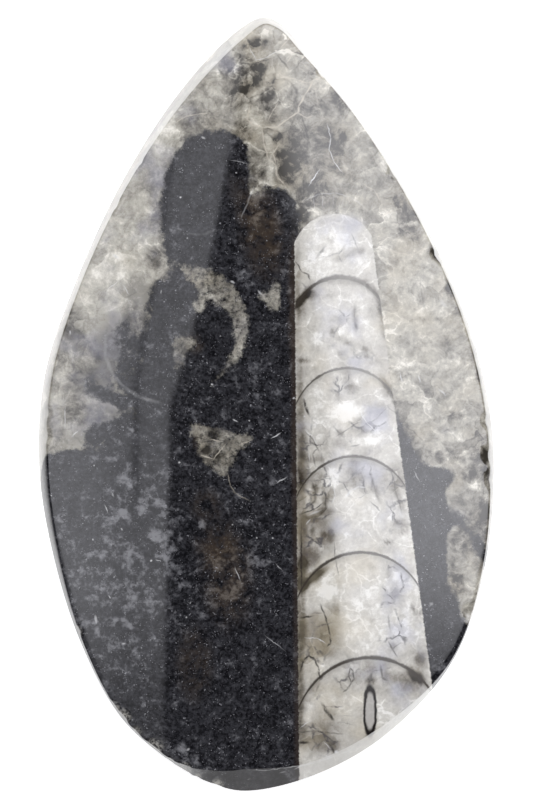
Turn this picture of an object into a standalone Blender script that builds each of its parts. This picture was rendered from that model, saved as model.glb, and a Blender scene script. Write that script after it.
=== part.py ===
"""Orthoceras fossil: one teardrop of fossil limestone, sawn, ground on a wheel and polished by hand.

Metres, +Z up. The stone lies on its flat sawn back with the polished face up and its tip towards +Y.
The origin is the middle of its length and width, in the plane of the back.
"""

import math

import bmesh
import bpy
from mathutils import Vector

MM = 0.001

# The polished face: a very shallow dome
CROWN = Vector((0.0, -6.0, 10.0)) * MM  # its highest point, at the stone's full thickness
RADIUS_ACROSS = 210.0 * MM  # of its curve from side to side
RADIUS_ALONG = 700.0 * MM  # and from tip to foot

# The ground side, from the arris, where it leaves the face, out to the girdle and in to the heel
GIRDLE_HEIGHT = 5.4 * MM  # of the widest line round the stone, above the back
GIRDLE_SWAY = 0.5 * MM  # how far that line wanders up and down
EDGE_ROUNDNESS = 1.3  # from arris to girdle: 1 is a straight facet, 2 a full round
HEEL_HEIGHT = 0.7 * MM  # where the side turns in to the back
UNDERCUT = 0.45 * MM  # how far the side leans in from girdle to heel
HEEL_ROUND = 0.5 * MM  # how far the heel turns in to the back

# The widest outline, anticlockwise from the tip, and how wide the ground edge is there in plan: (x, y, width)
OUTLINE_MM = [
    (-0.3, 38.7, 0.8),
    (-3.2, 37.1, 1.1),
    (-8.7, 31.2, 1.0),
    (-14.4, 22.3, 0.7),
    (-19.2, 11.9, 0.7),
    (-22.2, 2.8, 0.8),
    (-22.75, -6.5, 0.75),
    (-21.2, -15.8, 0.55),
    (-18.4, -24.4, 0.25),
    (-14.4, -31.6, 0.3),
    (-9.0, -36.2, 0.6),
    (-2.3, -38.7, 2.2),
    (4.7, -37.15, 1.4),
    (11.9, -33.15, 1.0),
    (18.6, -25.8, 0.3),
    (21.95, -15.8, 0.35),
    (22.7, -4.0, 0.6),
    (20.6, 6.8, 0.55),
    (15.8, 18.0, 0.4),
    (9.4, 28.35, 0.35),
    (3.8, 35.3, 0.5),
    (1.6, 37.9, 0.7),
]
STEPS_PER_SPAN = 5  # ring corners between two outline points

# Rings of the mesh
FACE_RINGS = 8  # from the crown out to the arris
EDGE_RINGS = 5  # from the arris down to the girdle

STONE_COLOUR = (0.20, 0.19, 0.18, 1.0)
POLISH_ROUGHNESS = 0.12


def spline_point(before, start, end, after, share):
    """A point on the centripetal Catmull-Rom spline from start to end."""
    knots = [0.0]
    for one, two in ((before, start), (start, end), (end, after)):
        knots.append(knots[-1] + math.sqrt((two - one).length))
    k0, k1, k2, k3 = knots
    k = k1 + (k2 - k1) * share
    a1 = before.lerp(start, (k - k0) / (k1 - k0))
    a2 = start.lerp(end, (k - k1) / (k2 - k1))
    a3 = end.lerp(after, (k - k2) / (k3 - k2))
    b1 = a1.lerp(a2, (k - k0) / (k2 - k0))
    b2 = a2.lerp(a3, (k - k1) / (k3 - k1))
    return b1.lerp(b2, (k - k1) / (k2 - k1))


def smooth_outline():
    """The closed outline as (x, y, edge width) vectors, evenly filled in between its given points."""
    given = [Vector(point) * MM for point in OUTLINE_MM]
    count = len(given)
    filled = []
    for i in range(count):
        span = [given[(i + step) % count] for step in (-1, 0, 1, 2)]
        filled += [spline_point(*span, n / STEPS_PER_SPAN) for n in range(STEPS_PER_SPAN)]
    return filled


def inward_normals(outline):
    """The flat unit vector that points into the stone at each outline point."""
    normals = []
    for i, point in enumerate(outline):
        along = outline[(i + 1) % len(outline)] - outline[i - 1]
        normals.append(Vector((-along.y, along.x, 0.0)).normalized())
    return normals


def add_ring(bm, points):
    """A closed loop of edges through the points."""
    verts = [bm.verts.new(point) for point in points]
    return [bm.edges.new((verts[i - 1], verts[i])) for i in range(len(verts))]


def skin_rings(bm, rings):
    """Joins each ring to the next with a band of faces."""
    for upper, lower in zip(rings, rings[1:]):
        bmesh.ops.bridge_loops(bm, edges=upper + lower)


def face_point(x, y):
    """The point of the domed face over (x, y)."""
    fall = (x - CROWN.x) ** 2 / (2 * RADIUS_ACROSS) + (y - CROWN.y) ** 2 / (2 * RADIUS_ALONG)
    return Vector((x, y, CROWN.z - fall))


def face_rings(arris):
    """The face from the crown outwards: the arris drawn in towards the crown, each time on the dome."""
    for n in range(1, FACE_RINGS + 1):
        spots = [CROWN.lerp(edge, n / FACE_RINGS) for edge in arris]
        yield [face_point(spot.x, spot.y) for spot in spots]


def edge_rings(arris, girdle):
    """The ground edge below the arris: a flattened round down to the girdle."""
    for n in range(1, EDGE_RINGS + 1):
        turn = math.pi / 2 * n / EDGE_RINGS
        outward = math.sin(turn) ** (2 / EDGE_ROUNDNESS)
        downward = 1 - abs(math.cos(turn)) ** (2 / EDGE_ROUNDNESS)
        yield [
            Vector((
                top.x + (low.x - top.x) * outward,
                top.y + (low.y - top.y) * outward,
                top.z + (low.z - top.z) * downward,
            ))
            for top, low in zip(arris, girdle)
        ]


def lower_rings(girdle, normals):
    """The side below the girdle: it leans in to the heel, then turns in to the back."""
    flank = [
        Vector((low.x, low.y, (low.z + HEEL_HEIGHT) / 2)) + normal * UNDERCUT / 4
        for low, normal in zip(girdle, normals)
    ]
    heel = [Vector((low.x, low.y, HEEL_HEIGHT)) + normal * UNDERCUT for low, normal in zip(girdle, normals)]
    back = [Vector((edge.x, edge.y, 0.0)) + normal * HEEL_ROUND for edge, normal in zip(heel, normals)]
    return [flank, heel, back]


def build_stone(collection):
    outline = smooth_outline()
    normals = inward_normals(outline)
    girdle = []
    arris = []
    for i, (point, normal) in enumerate(zip(outline, normals)):
        sway = math.sin(4 * math.pi * i / len(outline)) * GIRDLE_SWAY
        girdle.append(Vector((point.x, point.y, GIRDLE_HEIGHT + sway)))
        edge = girdle[-1] + normal * point.z
        arris.append(face_point(edge.x, edge.y))

    bm = bmesh.new()
    loops = [*face_rings(arris), *edge_rings(arris, girdle), *lower_rings(girdle, normals)]
    rings = [add_ring(bm, points) for points in loops]
    skin_rings(bm, rings)
    bmesh.ops.edgeloop_fill(bm, edges=rings[-1])
    cap = bmesh.ops.edgeloop_fill(bm, edges=rings[0])["faces"]
    middle = bmesh.ops.poke(bm, faces=cap)["verts"][0]
    middle.co = CROWN
    bmesh.ops.recalc_face_normals(bm, faces=bm.faces)

    mesh = bpy.data.meshes.new("orthoceras_stone")
    bm.to_mesh(mesh)
    bm.free()
    mesh.shade_smooth()
    mesh.set_sharp_from_angle(angle=math.radians(30))
    stone = bpy.data.objects.new("orthoceras_stone", mesh)
    collection.objects.link(stone)
    return stone


def polished_limestone():
    material = bpy.data.materials.new("polished_limestone")
    material.use_nodes = True
    shader = material.node_tree.nodes["Principled BSDF"]
    shader.inputs["Base Color"].default_value = STONE_COLOUR
    shader.inputs["Roughness"].default_value = POLISH_ROUGHNESS
    shader.inputs["Metallic"].default_value = 0.0
    return material


def main():
    for old in list(bpy.data.objects):
        bpy.data.objects.remove(old)
    collection = bpy.data.collections.new("orthoceras_fossil")
    bpy.context.scene.collection.children.link(collection)
    stone = build_stone(collection)
    stone.data.materials.append(polished_limestone())


main()
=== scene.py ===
import math

import bmesh
import bpy
import numpy as np
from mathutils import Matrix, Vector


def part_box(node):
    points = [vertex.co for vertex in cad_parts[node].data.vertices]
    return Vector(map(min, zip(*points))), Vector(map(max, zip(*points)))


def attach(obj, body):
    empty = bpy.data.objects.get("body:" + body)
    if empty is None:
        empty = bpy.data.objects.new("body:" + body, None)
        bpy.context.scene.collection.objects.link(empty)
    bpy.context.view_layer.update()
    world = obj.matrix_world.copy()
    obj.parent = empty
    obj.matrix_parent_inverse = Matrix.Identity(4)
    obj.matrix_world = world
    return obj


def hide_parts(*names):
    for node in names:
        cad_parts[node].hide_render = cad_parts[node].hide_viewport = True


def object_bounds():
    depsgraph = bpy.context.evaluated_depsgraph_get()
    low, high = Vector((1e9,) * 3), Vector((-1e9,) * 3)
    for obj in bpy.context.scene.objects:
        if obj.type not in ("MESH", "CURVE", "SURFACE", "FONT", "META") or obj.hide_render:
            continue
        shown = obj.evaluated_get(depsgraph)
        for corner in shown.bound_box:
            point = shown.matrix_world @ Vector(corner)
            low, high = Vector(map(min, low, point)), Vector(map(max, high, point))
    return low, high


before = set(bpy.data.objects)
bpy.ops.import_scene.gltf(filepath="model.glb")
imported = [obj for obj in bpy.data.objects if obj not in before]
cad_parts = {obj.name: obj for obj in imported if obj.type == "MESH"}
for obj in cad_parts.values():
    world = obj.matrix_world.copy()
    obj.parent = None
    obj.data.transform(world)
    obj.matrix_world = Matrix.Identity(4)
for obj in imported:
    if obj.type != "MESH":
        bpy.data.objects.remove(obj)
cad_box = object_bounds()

MM = 0.001


# --- The stone's shape ------------------------------------------------------------------------------
# A slab of fossil limestone, sawn flat behind. Its outline was ground to a teardrop on a wheel, which
# left a narrow ground edge under the arris and a wide one at the foot, and its face was polished to a
# very shallow dome. Here and there the arris has chipped. All sizes below are in millimetres.

CROWN = np.array([0.0, -6.0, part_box("orthoceras_stone")[1].z / MM])  # top of the dome
RADIUS_ACROSS = 210.0  # of the dome from side to side
RADIUS_ALONG = 700.0  # and from tip to foot
ROLL_DROP = 0.07  # how far polishing rolled the face down at the arris
ROLL_REACH = 0.5  # how far in from the arris the roll begins
GIRDLE_HEIGHT = 5.4  # of the widest line round the stone
GIRDLE_SWAY = 0.5  # how far that line wanders up and down
UNDERCUT = 0.45  # how far the side leans in from girdle to heel
HEEL_HEIGHT = 0.7
HEEL_ROUND = 0.5  # how far the heel turns in to the back

OUTLINE = [
    # x, y, width of the ground edge, how round that edge is (1 is a flat facet), rise of its lower side
    (-0.3, 38.7, 0.8, 1.2, 0.0),
    (-3.2, 37.1, 1.1, 1.1, 0.0),
    (-8.7, 31.2, 1.0, 1.1, 0.0),
    (-14.4, 22.3, 0.7, 1.1, 0.0),
    (-19.2, 11.9, 0.6, 1.3, 0.0),
    (-22.2, 2.8, 0.8, 1.6, 0.0),
    (-22.75, -6.5, 0.85, 1.8, 0.0),
    (-21.2, -15.8, 0.6, 1.8, 0.0),
    (-18.4, -24.4, 0.3, 1.6, 0.0),
    (-14.4, -31.6, 0.22, 1.4, 0.8),
    (-9.0, -36.2, 0.35, 1.2, 2.4),
    (-6.01, -37.734, 1.2, 1.0, 3.0),
    (-2.3, -38.7, 2.2, 1.0, 2.5),
    (4.7, -37.15, 1.4, 1.0, 2.8),
    (11.9, -33.15, 1.0, 1.1, 1.0),
    (18.6, -25.8, 0.22, 1.4, 0.0),
    (21.95, -15.8, 0.25, 1.4, 0.0),
    (22.7, -4.0, 0.5, 1.5, 0.0),
    (20.6, 6.8, 0.45, 1.5, 0.0),
    (15.8, 18.0, 0.35, 1.4, 0.0),
    (9.4, 28.35, 0.25, 1.4, 0.0),
    (3.8, 35.3, 0.4, 1.2, 0.0),
    (1.6, 37.9, 0.6, 1.2, 0.0),
]
OUTLINE_STEPS = 26  # corners between two of its points

CHIPS = [
    # x, y, reach, depth and how pale the fresh break is
    (-18.8, -22.7, 0.5, 0.2, 0.6), (-15.3, -30.3, 0.7, 0.16, 0.7), (-14.4, -31.3, 0.9, 0.3, 1.0),
    (-13.1, -32.8, 0.7, 0.14, 0.5), (-11.3, -34.4, 1.1, 0.18, 0.8), (-9.7, -35.8, 0.5, 0.14, 0.6),
    (-8.3, -36.6, 0.9, 0.22, 0.9), (-6.9, -37.3, 0.4, 0.12, 0.7), (-4.9, -38.1, 0.7, 0.1, 0.9),
    (-12.7, 24.2, 0.5, 0.2, 0.0), (-15.2, 19.9, 0.5, 0.2, 0.0), (-21.9, -1.0, 0.6, 0.2, 0.0),
    (-22.1, -3.2, 0.7, 0.25, 0.0), (22.2, -5.2, 0.8, 0.3, 0.0), (22.3, -7.6, 0.6, 0.25, 0.1),
    (22.0, -1.8, 0.6, 0.25, 0.0), (20.1, -21.0, 0.5, 0.2, 0.5), (12.4, 22.9, 0.5, 0.2, 0.0),
    (-6.4, 33.6, 0.5, 0.2, 0.2), (17.0, 14.8, 0.6, 0.3, 0.0), (5.4, 33.0, 0.4, 0.15, 0.3),
]
CHIP_PULL = 0.6  # how far a chip reaches in sideways, as a share of its depth
CHIP_END = 6.2  # the height that no chip reaches down to
CHIP_FADE = 1.6  # over which chips come in above it

FACE_SHARES = [*np.linspace(0.01, 0.98, 95), 0.985, 0.99, 0.994, 0.998, 1.0]  # rings from crown to arris
BACK_SHARES = [0.997, 0.985, *np.linspace(0.93, 0.02, 8)]  # rings from heel to the middle of the back
FACE_RINGS = len(FACE_SHARES)
EDGE_RINGS = 10
WALL_RINGS = 14
HEEL_RINGS = 4


def smooth_loop(points, steps):
    """A closed centripetal Catmull-Rom curve through the points, with this many steps between two."""
    given = np.array(points, dtype=float)
    p0, p1, p2, p3 = (np.roll(given, shift, axis=0)[:, None, :] for shift in (1, 0, -1, -2))
    spans = ((p0, p1), (p1, p2), (p2, p3))
    gaps = [np.sqrt(np.linalg.norm((b - a)[:, :, :2], axis=2, keepdims=True)) for a, b in spans]
    k0 = np.zeros_like(gaps[0])
    k1 = k0 + gaps[0]
    k2 = k1 + gaps[1]
    k3 = k2 + gaps[2]
    k = k1 + (k2 - k1) * np.linspace(0, 1, steps, endpoint=False)[None, :, None]

    def between(a, b, start, end):
        return (end - k) / (end - start) * a + (k - start) / (end - start) * b

    a1, a2, a3 = between(p0, p1, k0, k1), between(p1, p2, k1, k2), between(p2, p3, k2, k3)
    curve = between(between(a1, a2, k0, k2), between(a2, a3, k1, k3), k1, k2)
    return curve.reshape(-1, given.shape[1])


def dome_height(x, y):
    """Height of the polished face over (x, y)."""
    return CROWN[2] - (x - CROWN[0]) ** 2 / (2 * RADIUS_ACROSS) - (y - CROWN[1]) ** 2 / (2 * RADIUS_ALONG)


def on_dome(places):
    return np.column_stack([places, dome_height(places[:, 0], places[:, 1])])


def chipped(points):
    """How far chips reach into the stone at each point of its upper rings, and how pale they are there."""
    reach_in = np.zeros(len(points))
    pale = np.zeros(len(points))
    for cx, cy, size, deep, paleness in CHIPS:
        away = np.hypot(points[:, 0] - cx, points[:, 1] - cy) / size
        scoop = np.clip(1 - away**2, 0, 1)
        reach_in = np.maximum(reach_in, deep * scoop)
        pale = np.maximum(pale, paleness * scoop)
    high = np.clip((points[:, 2] - CHIP_END) / CHIP_FADE, 0, 1)
    return reach_in * high, pale * high


outline = smooth_loop(OUTLINE, OUTLINE_STEPS)
for axis in (0, 1):
    low, high = cad_box[0][axis] / MM, cad_box[1][axis] / MM
    least, most = outline[:, axis].min(), outline[:, axis].max()
    outline[:, axis] = low + (outline[:, axis] - least) * (high - low) / (most - least)
along = np.roll(outline, -1, axis=0)[:, :2] - np.roll(outline, 1, axis=0)[:, :2]
inward = np.column_stack([-along[:, 1], along[:, 0]]) / np.linalg.norm(along, axis=1)[:, None]
edge_width, edge_roundness, edge_rise = outline[:, 2], outline[:, 3], outline[:, 4]
turn = 4 * math.pi * np.arange(len(outline)) / len(outline)
girdle = np.column_stack([outline[:, :2], GIRDLE_HEIGHT + GIRDLE_SWAY * np.sin(turn) + edge_rise])
across_face = girdle[:, :2] + inward * edge_width[:, None] - CROWN[:2]
face_width = np.linalg.norm(across_face, axis=1)

profile = []  # the stone's rings, from the crown over the arris and the girdle to the middle of the back
for share in FACE_SHARES:
    ring = on_dome(CROWN[:2] + across_face * share)
    left = 1 - np.clip((1 - share) * face_width / ROLL_REACH, 0, 1)
    ring[:, 2] -= ROLL_DROP * left**2
    profile.append(ring)
arris = profile[-1]
for angle in np.linspace(0, math.pi / 2, EDGE_RINGS + 1)[1:]:
    outward = math.sin(angle) ** (2 / edge_roundness)
    downward = 1 - abs(math.cos(angle)) ** (2 / edge_roundness)
    profile.append(arris + (girdle - arris) * np.column_stack([outward, outward, downward]))
for share in np.linspace(0, 1, WALL_RINGS + 1)[1:]:
    lean = UNDERCUT * share**2
    height = girdle[:, 2] + (HEEL_HEIGHT - girdle[:, 2]) * share
    profile.append(np.column_stack([girdle[:, :2] + inward * lean, height]))
for angle in np.linspace(0, math.pi / 2, HEEL_RINGS + 1)[1:]:
    lean = UNDERCUT + HEEL_ROUND * (1 - math.cos(angle))
    height = np.full(len(girdle), HEEL_HEIGHT * (1 - math.sin(angle)))
    profile.append(np.column_stack([girdle[:, :2] + inward * lean, height]))
heel = profile[-1]
back_middle = CROWN * [1, 1, 0]
for share in BACK_SHARES:
    profile.append(back_middle + (heel - back_middle) * share)

bm = bmesh.new()
rings = []
breaks = []  # how pale each corner is from chipping
for points in profile:
    reach_in, pale = chipped(points)
    points[:, :2] += inward * reach_in[:, None] * CHIP_PULL
    points[:, 2] -= reach_in
    breaks.append(pale)
    corners = [bm.verts.new(point) for point in points * MM]
    rings.append([bm.edges.new((corners[i - 1], corners[i])) for i in range(len(corners))])
for upper, lower in zip(rings, rings[1:]):
    bmesh.ops.bridge_loops(bm, edges=upper + lower)
for rim in (rings[0], rings[-1]):
    cap = bmesh.ops.edgeloop_fill(bm, edges=rim)["faces"]
    bmesh.ops.poke(bm, faces=cap)
bmesh.ops.recalc_face_normals(bm, faces=bm.faces)
stone_mesh = bpy.data.meshes.new("polished_stone")
bm.to_mesh(stone_mesh)
bm.free()
stone_mesh.shade_smooth()
stone = bpy.data.objects.new("polished_stone", stone_mesh)
bpy.context.scene.collection.objects.link(stone)
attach(stone, "root")
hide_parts("orthoceras_stone")

surface = np.empty(len(stone_mesh.vertices) * 3)  # where each corner lies
stone_mesh.vertices.foreach_get("co", surface)
surface = surface.reshape(-1, 3) / MM
depth = dome_height(surface[:, 0], surface[:, 1]) - surface[:, 2]
ring_number = np.minimum(np.arange(len(surface)) // len(outline), len(profile) - 1)
ring_number[-2] = 0  # the crown, which was made last but one


# --- Where the dark rock and the calcite lie --------------------------------------------------------
# The stone was black lime mud that filled and covered shells, and clear to smoky calcite that grew in
# the hollows. Each loop below bounds one mass of it on the polished face. Below the face the beds dip.

ROCK_MASS = [
    (-4.5, 27.8), (-7.0, 27.4), (-9.2, 25.8), (-10.2, 23.5), (-10.8, 20.5), (-10.8, 17.4), (-10.4, 14.6),
    (-10.8, 13.0), (-12.4, 12.0), (-13.8, 10.8), (-14.4, 9.2), (-15.6, 7.6), (-16.1, 5.0), (-16.2, 3.6),
    (-18.4, 3.0), (-18.6, 1.4), (-16.8, 0.4), (-15.2, -0.4), (-15.4, -1.6), (-17.2, -1.9), (-18.8, -3.4),
    (-20.0, -4.4), (-22.6, -5.2), (-26.0, -8.0), (-26.0, -45.0), (5.0, -45.0), (5.0, -20.0), (5.0, 0.0),
    (3.4, 18.4), (2.9, 20.2), (1.9, 21.7), (-0.2, 22.0), (-1.1, 21.5), (-1.6, 21.2), (-1.65, 23.0),
    (-1.9, 25.9),
]
ROCK_WEDGE = [
    (13.0, -0.6), (14.1, -2.2), (14.9, -4.0), (15.6, -5.5), (17.2, -6.0), (18.5, -6.3), (18.8, -7.6),
    (18.0, -8.6), (18.2, -10.2), (19.4, -10.9), (20.6, -12.4), (21.4, -13.2), (22.2, -15.4), (21.6, -16.0),
    (20.4, -14.2), (19.0, -12.7), (18.2, -13.4), (18.5, -17.0), (19.0, -19.2), (19.8, -21.6), (22.0, -24.0),
    (19.0, -33.0), (12.0, -33.0), (12.0, -20.0),
]
CRESCENT = [
    (-9.6, 14.2), (-8.2, 13.9), (-6.6, 13.7), (-5.0, 13.1), (-3.6, 12.2), (-2.7, 10.8), (-2.0, 9.2),
    (-1.7, 7.4), (-2.1, 5.6), (-2.9, 4.2), (-4.0, 3.0), (-5.6, 1.9), (-4.4, 3.4), (-3.9, 4.8), (-3.2, 5.8),
    (-3.5, 7.2), (-3.6, 8.7), (-4.5, 9.4), (-5.8, 10.0), (-6.6, 8.9), (-7.5, 9.6), (-7.2, 10.7),
    (-8.0, 12.4), (-8.8, 13.4),
]
WEB = [
    (-9.9, 4.8), (-9.4, 7.0), (-8.0, 7.3), (-6.7, 6.7), (-6.6, 5.5), (-7.6, 4.6), (-7.9, 3.4), (-9.0, 3.0),
]
BLOTCH = [
    (-0.9, 11.2), (0.2, 11.4), (0.9, 12.5), (1.5, 11.6), (1.4, 10.4), (1.5, 9.2), (0.7, 9.1), (-0.3, 10.1),
]
TRIANGLE = [
    (-7.6, -2.0), (-5.4, -2.3), (-3.4, -2.8), (-1.3, -3.3), (-1.7, -4.1), (-2.9, -4.9), (-3.4, -6.3),
    (-4.4, -7.4), (-5.7, -6.3), (-6.8, -5.3), (-7.0, -3.9), (-7.6, -3.1),
]
INLET = [(-13.9, 10.4), (-12.6, 9.8), (-12.3, 7.6), (-12.7, 6.4), (-13.5, 8.0)]
CALCITE_PATCHES = (CRESCENT, WEB, BLOTCH, TRIANGLE, INLET)
LOOP_STEPS = 6
PATCH_DEPTH = 2.5  # how deep small things reach below the face
PATCH_TAPER = 0.6  # how much the patches narrow for each millimetre of depth
BED_DRIFT = np.array([-0.5, 0.8])  # how far the beds slide sideways for each millimetre of depth
ROCK_CORE = 0.7  # past this distance from its border, rock is just rock
SIDE_FADE = 3  # rings over which the finish of the edge gives way to that of the side


def inside_distance(points, where):
    """How far each place lies inside the smooth loop, negative outside."""
    start = smooth_loop(points, LOOP_STEPS)
    end = np.roll(start, -1, axis=0)
    nearest = np.full(len(where), np.inf)
    inside = np.zeros(len(where), dtype=bool)
    for (x0, y0), (x1, y1) in zip(start, end):
        dx, dy = x1 - x0, y1 - y0
        px, py = where[:, 0] - x0, where[:, 1] - y0
        share = np.clip((px * dx + py * dy) / (dx * dx + dy * dy), 0, 1)
        nearest = np.minimum(nearest, np.hypot(px - share * dx, py - share * dy))
        if y0 != y1:
            inside ^= ((py < 0) != (py < dy)) & (px < dx * py / dy)
    return np.where(inside, nearest, -nearest)


def soft_spots(*spots):
    """The sum of soft elliptic spots: x, y, half length, half width, amount and, if turned, the angle."""
    total = np.zeros(len(surface))
    for cx, cy, length, width, amount, *turned in spots:
        angle = math.radians(turned[0]) if turned else 0.0
        c, s = math.cos(angle), math.sin(angle)
        px, py = surface[:, 0] - cx, surface[:, 1] - cy
        away = np.hypot((px * c + py * s) / length, (py * c - px * s) / width)
        away = np.hypot(away, depth / PATCH_DEPTH)
        # a smooth step, full up to half the way out and gone at one and a half times it
        total += amount * np.clip(1.5 - away, 0, 1) ** 2 * (1 + 2 * np.clip(away - 0.5, 0, 1))
    return total


def keep_on_stone(name, values):
    """Keeps a value for each corner of the stone, for its material to read."""
    stone_mesh.attributes.new(name, "FLOAT", "POINT").data.foreach_set("value", values)


past_arris = ring_number - FACE_RINGS
past_girdle = past_arris - EDGE_RINGS
past_heel = past_girdle - WALL_RINGS
keep_on_stone("ground", np.clip(past_arris + 1.0, 0, 1))
keep_on_stone("side", np.clip((past_girdle + 1.0) / SIDE_FADE, 0, 1))
keep_on_stone("back", np.clip(past_heel / HEEL_RINGS, 0, 1))
keep_on_stone("chipped", np.append(np.concatenate(breaks), [0.0, 0.0]))

bed = surface[:, :2] + np.clip(depth, 0, None)[:, None] * BED_DRIFT
rock = np.maximum(inside_distance(ROCK_MASS, bed), inside_distance(ROCK_WEDGE, bed))
thin = soft_spots(
    # where the rock is only a veil over the calcite below
    (-5.5, 27.2, 3.0, 0.8, 0.35), (-9.0, 25.4, 1.4, 1.4, 0.4), (0.6, 21.4, 1.6, 0.8, 0.35),
    (-0.9, 21.0, 0.7, 1.0, 0.3), (-10.2, 20.0, 0.8, 6.4, 0.2), (-2.0, 19.0, 0.4, 1.2, 0.35, -25),
    (-10.2, 13.4, 1.6, 1.4, 0.5), (-12.4, 11.6, 1.6, 1.0, 0.5, -20), (-14.2, 10.4, 1.8, 1.6, 0.9),
    (-0.2, 9.8, 1.6, 1.4, 0.25), (-14.0, 8.8, 1.6, 2.0, 0.5), (-12.2, 8.8, 1.0, 2.2, 0.5),
    (-13.1, 8.6, 0.5, 1.8, 0.35, -10), (-16.2, 6.4, 1.5, 2.6, 0.65), (-14.0, 4.4, 2.0, 2.2, 0.42),
    (-17.4, 3.0, 2.2, 1.6, 0.5), (-15.6, 1.9, 2.0, 0.7, 0.5, -40), (-12.4, 0.7, 2.2, 0.5, 0.32, -14),
    (-13.6, -1.0, 1.2, 0.8, 0.4), (1.8, -1.0, 0.8, 6.0, 0.05), (14.6, -3.0, 2.4, 1.0, 0.4, -55),
    (-19.6, -3.6, 1.8, 0.9, 0.45, -30), (-17.4, -4.0, 2.0, 1.0, 0.4), (17.2, -6.2, 1.6, 0.7, 0.4),
    (19.4, -12.5, 1.8, 1.0, 0.35, -40), (18.6, -16.5, 0.7, 3.0, 0.4, -12),
)
keep_on_stone("rock", np.minimum(rock, ROCK_CORE) - thin)

patch = np.full(len(surface), -np.inf)
for loop in CALCITE_PATCHES:
    patch = np.maximum(patch, inside_distance(loop, surface) - PATCH_TAPER * depth)
keep_on_stone("patch", patch - soft_spots(
    # where the patches are half rock
    (-6.4, 11.2, 1.4, 0.9, 0.4, -30), (-8.2, 5.3, 2.2, 2.8, 0.45),
))
keep_on_stone("smoke", soft_spots(
    # where a little rock is spread through the calcite
    (-12.6, 10.6, 1.4, 1.4, 0.5), (-13.9, 7.4, 1.0, 2.0, 0.5, -20), (-19.4, 6.6, 1.6, 2.0, 0.2),
    (-15.3, 5.6, 1.6, 3.4, 0.7), (-17.4, 2.4, 1.8, 1.4, 0.4), (-16.2, -1.0, 2.4, 1.2, 0.4),
    (-13.4, -1.2, 1.6, 1.2, 0.4), (-9.6, -2.0, 1.0, 2.0, 0.3), (-17.6, -3.6, 2.6, 1.0, 0.5),
    (-12.0, -4.6, 1.6, 1.4, 0.3),
))
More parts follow.
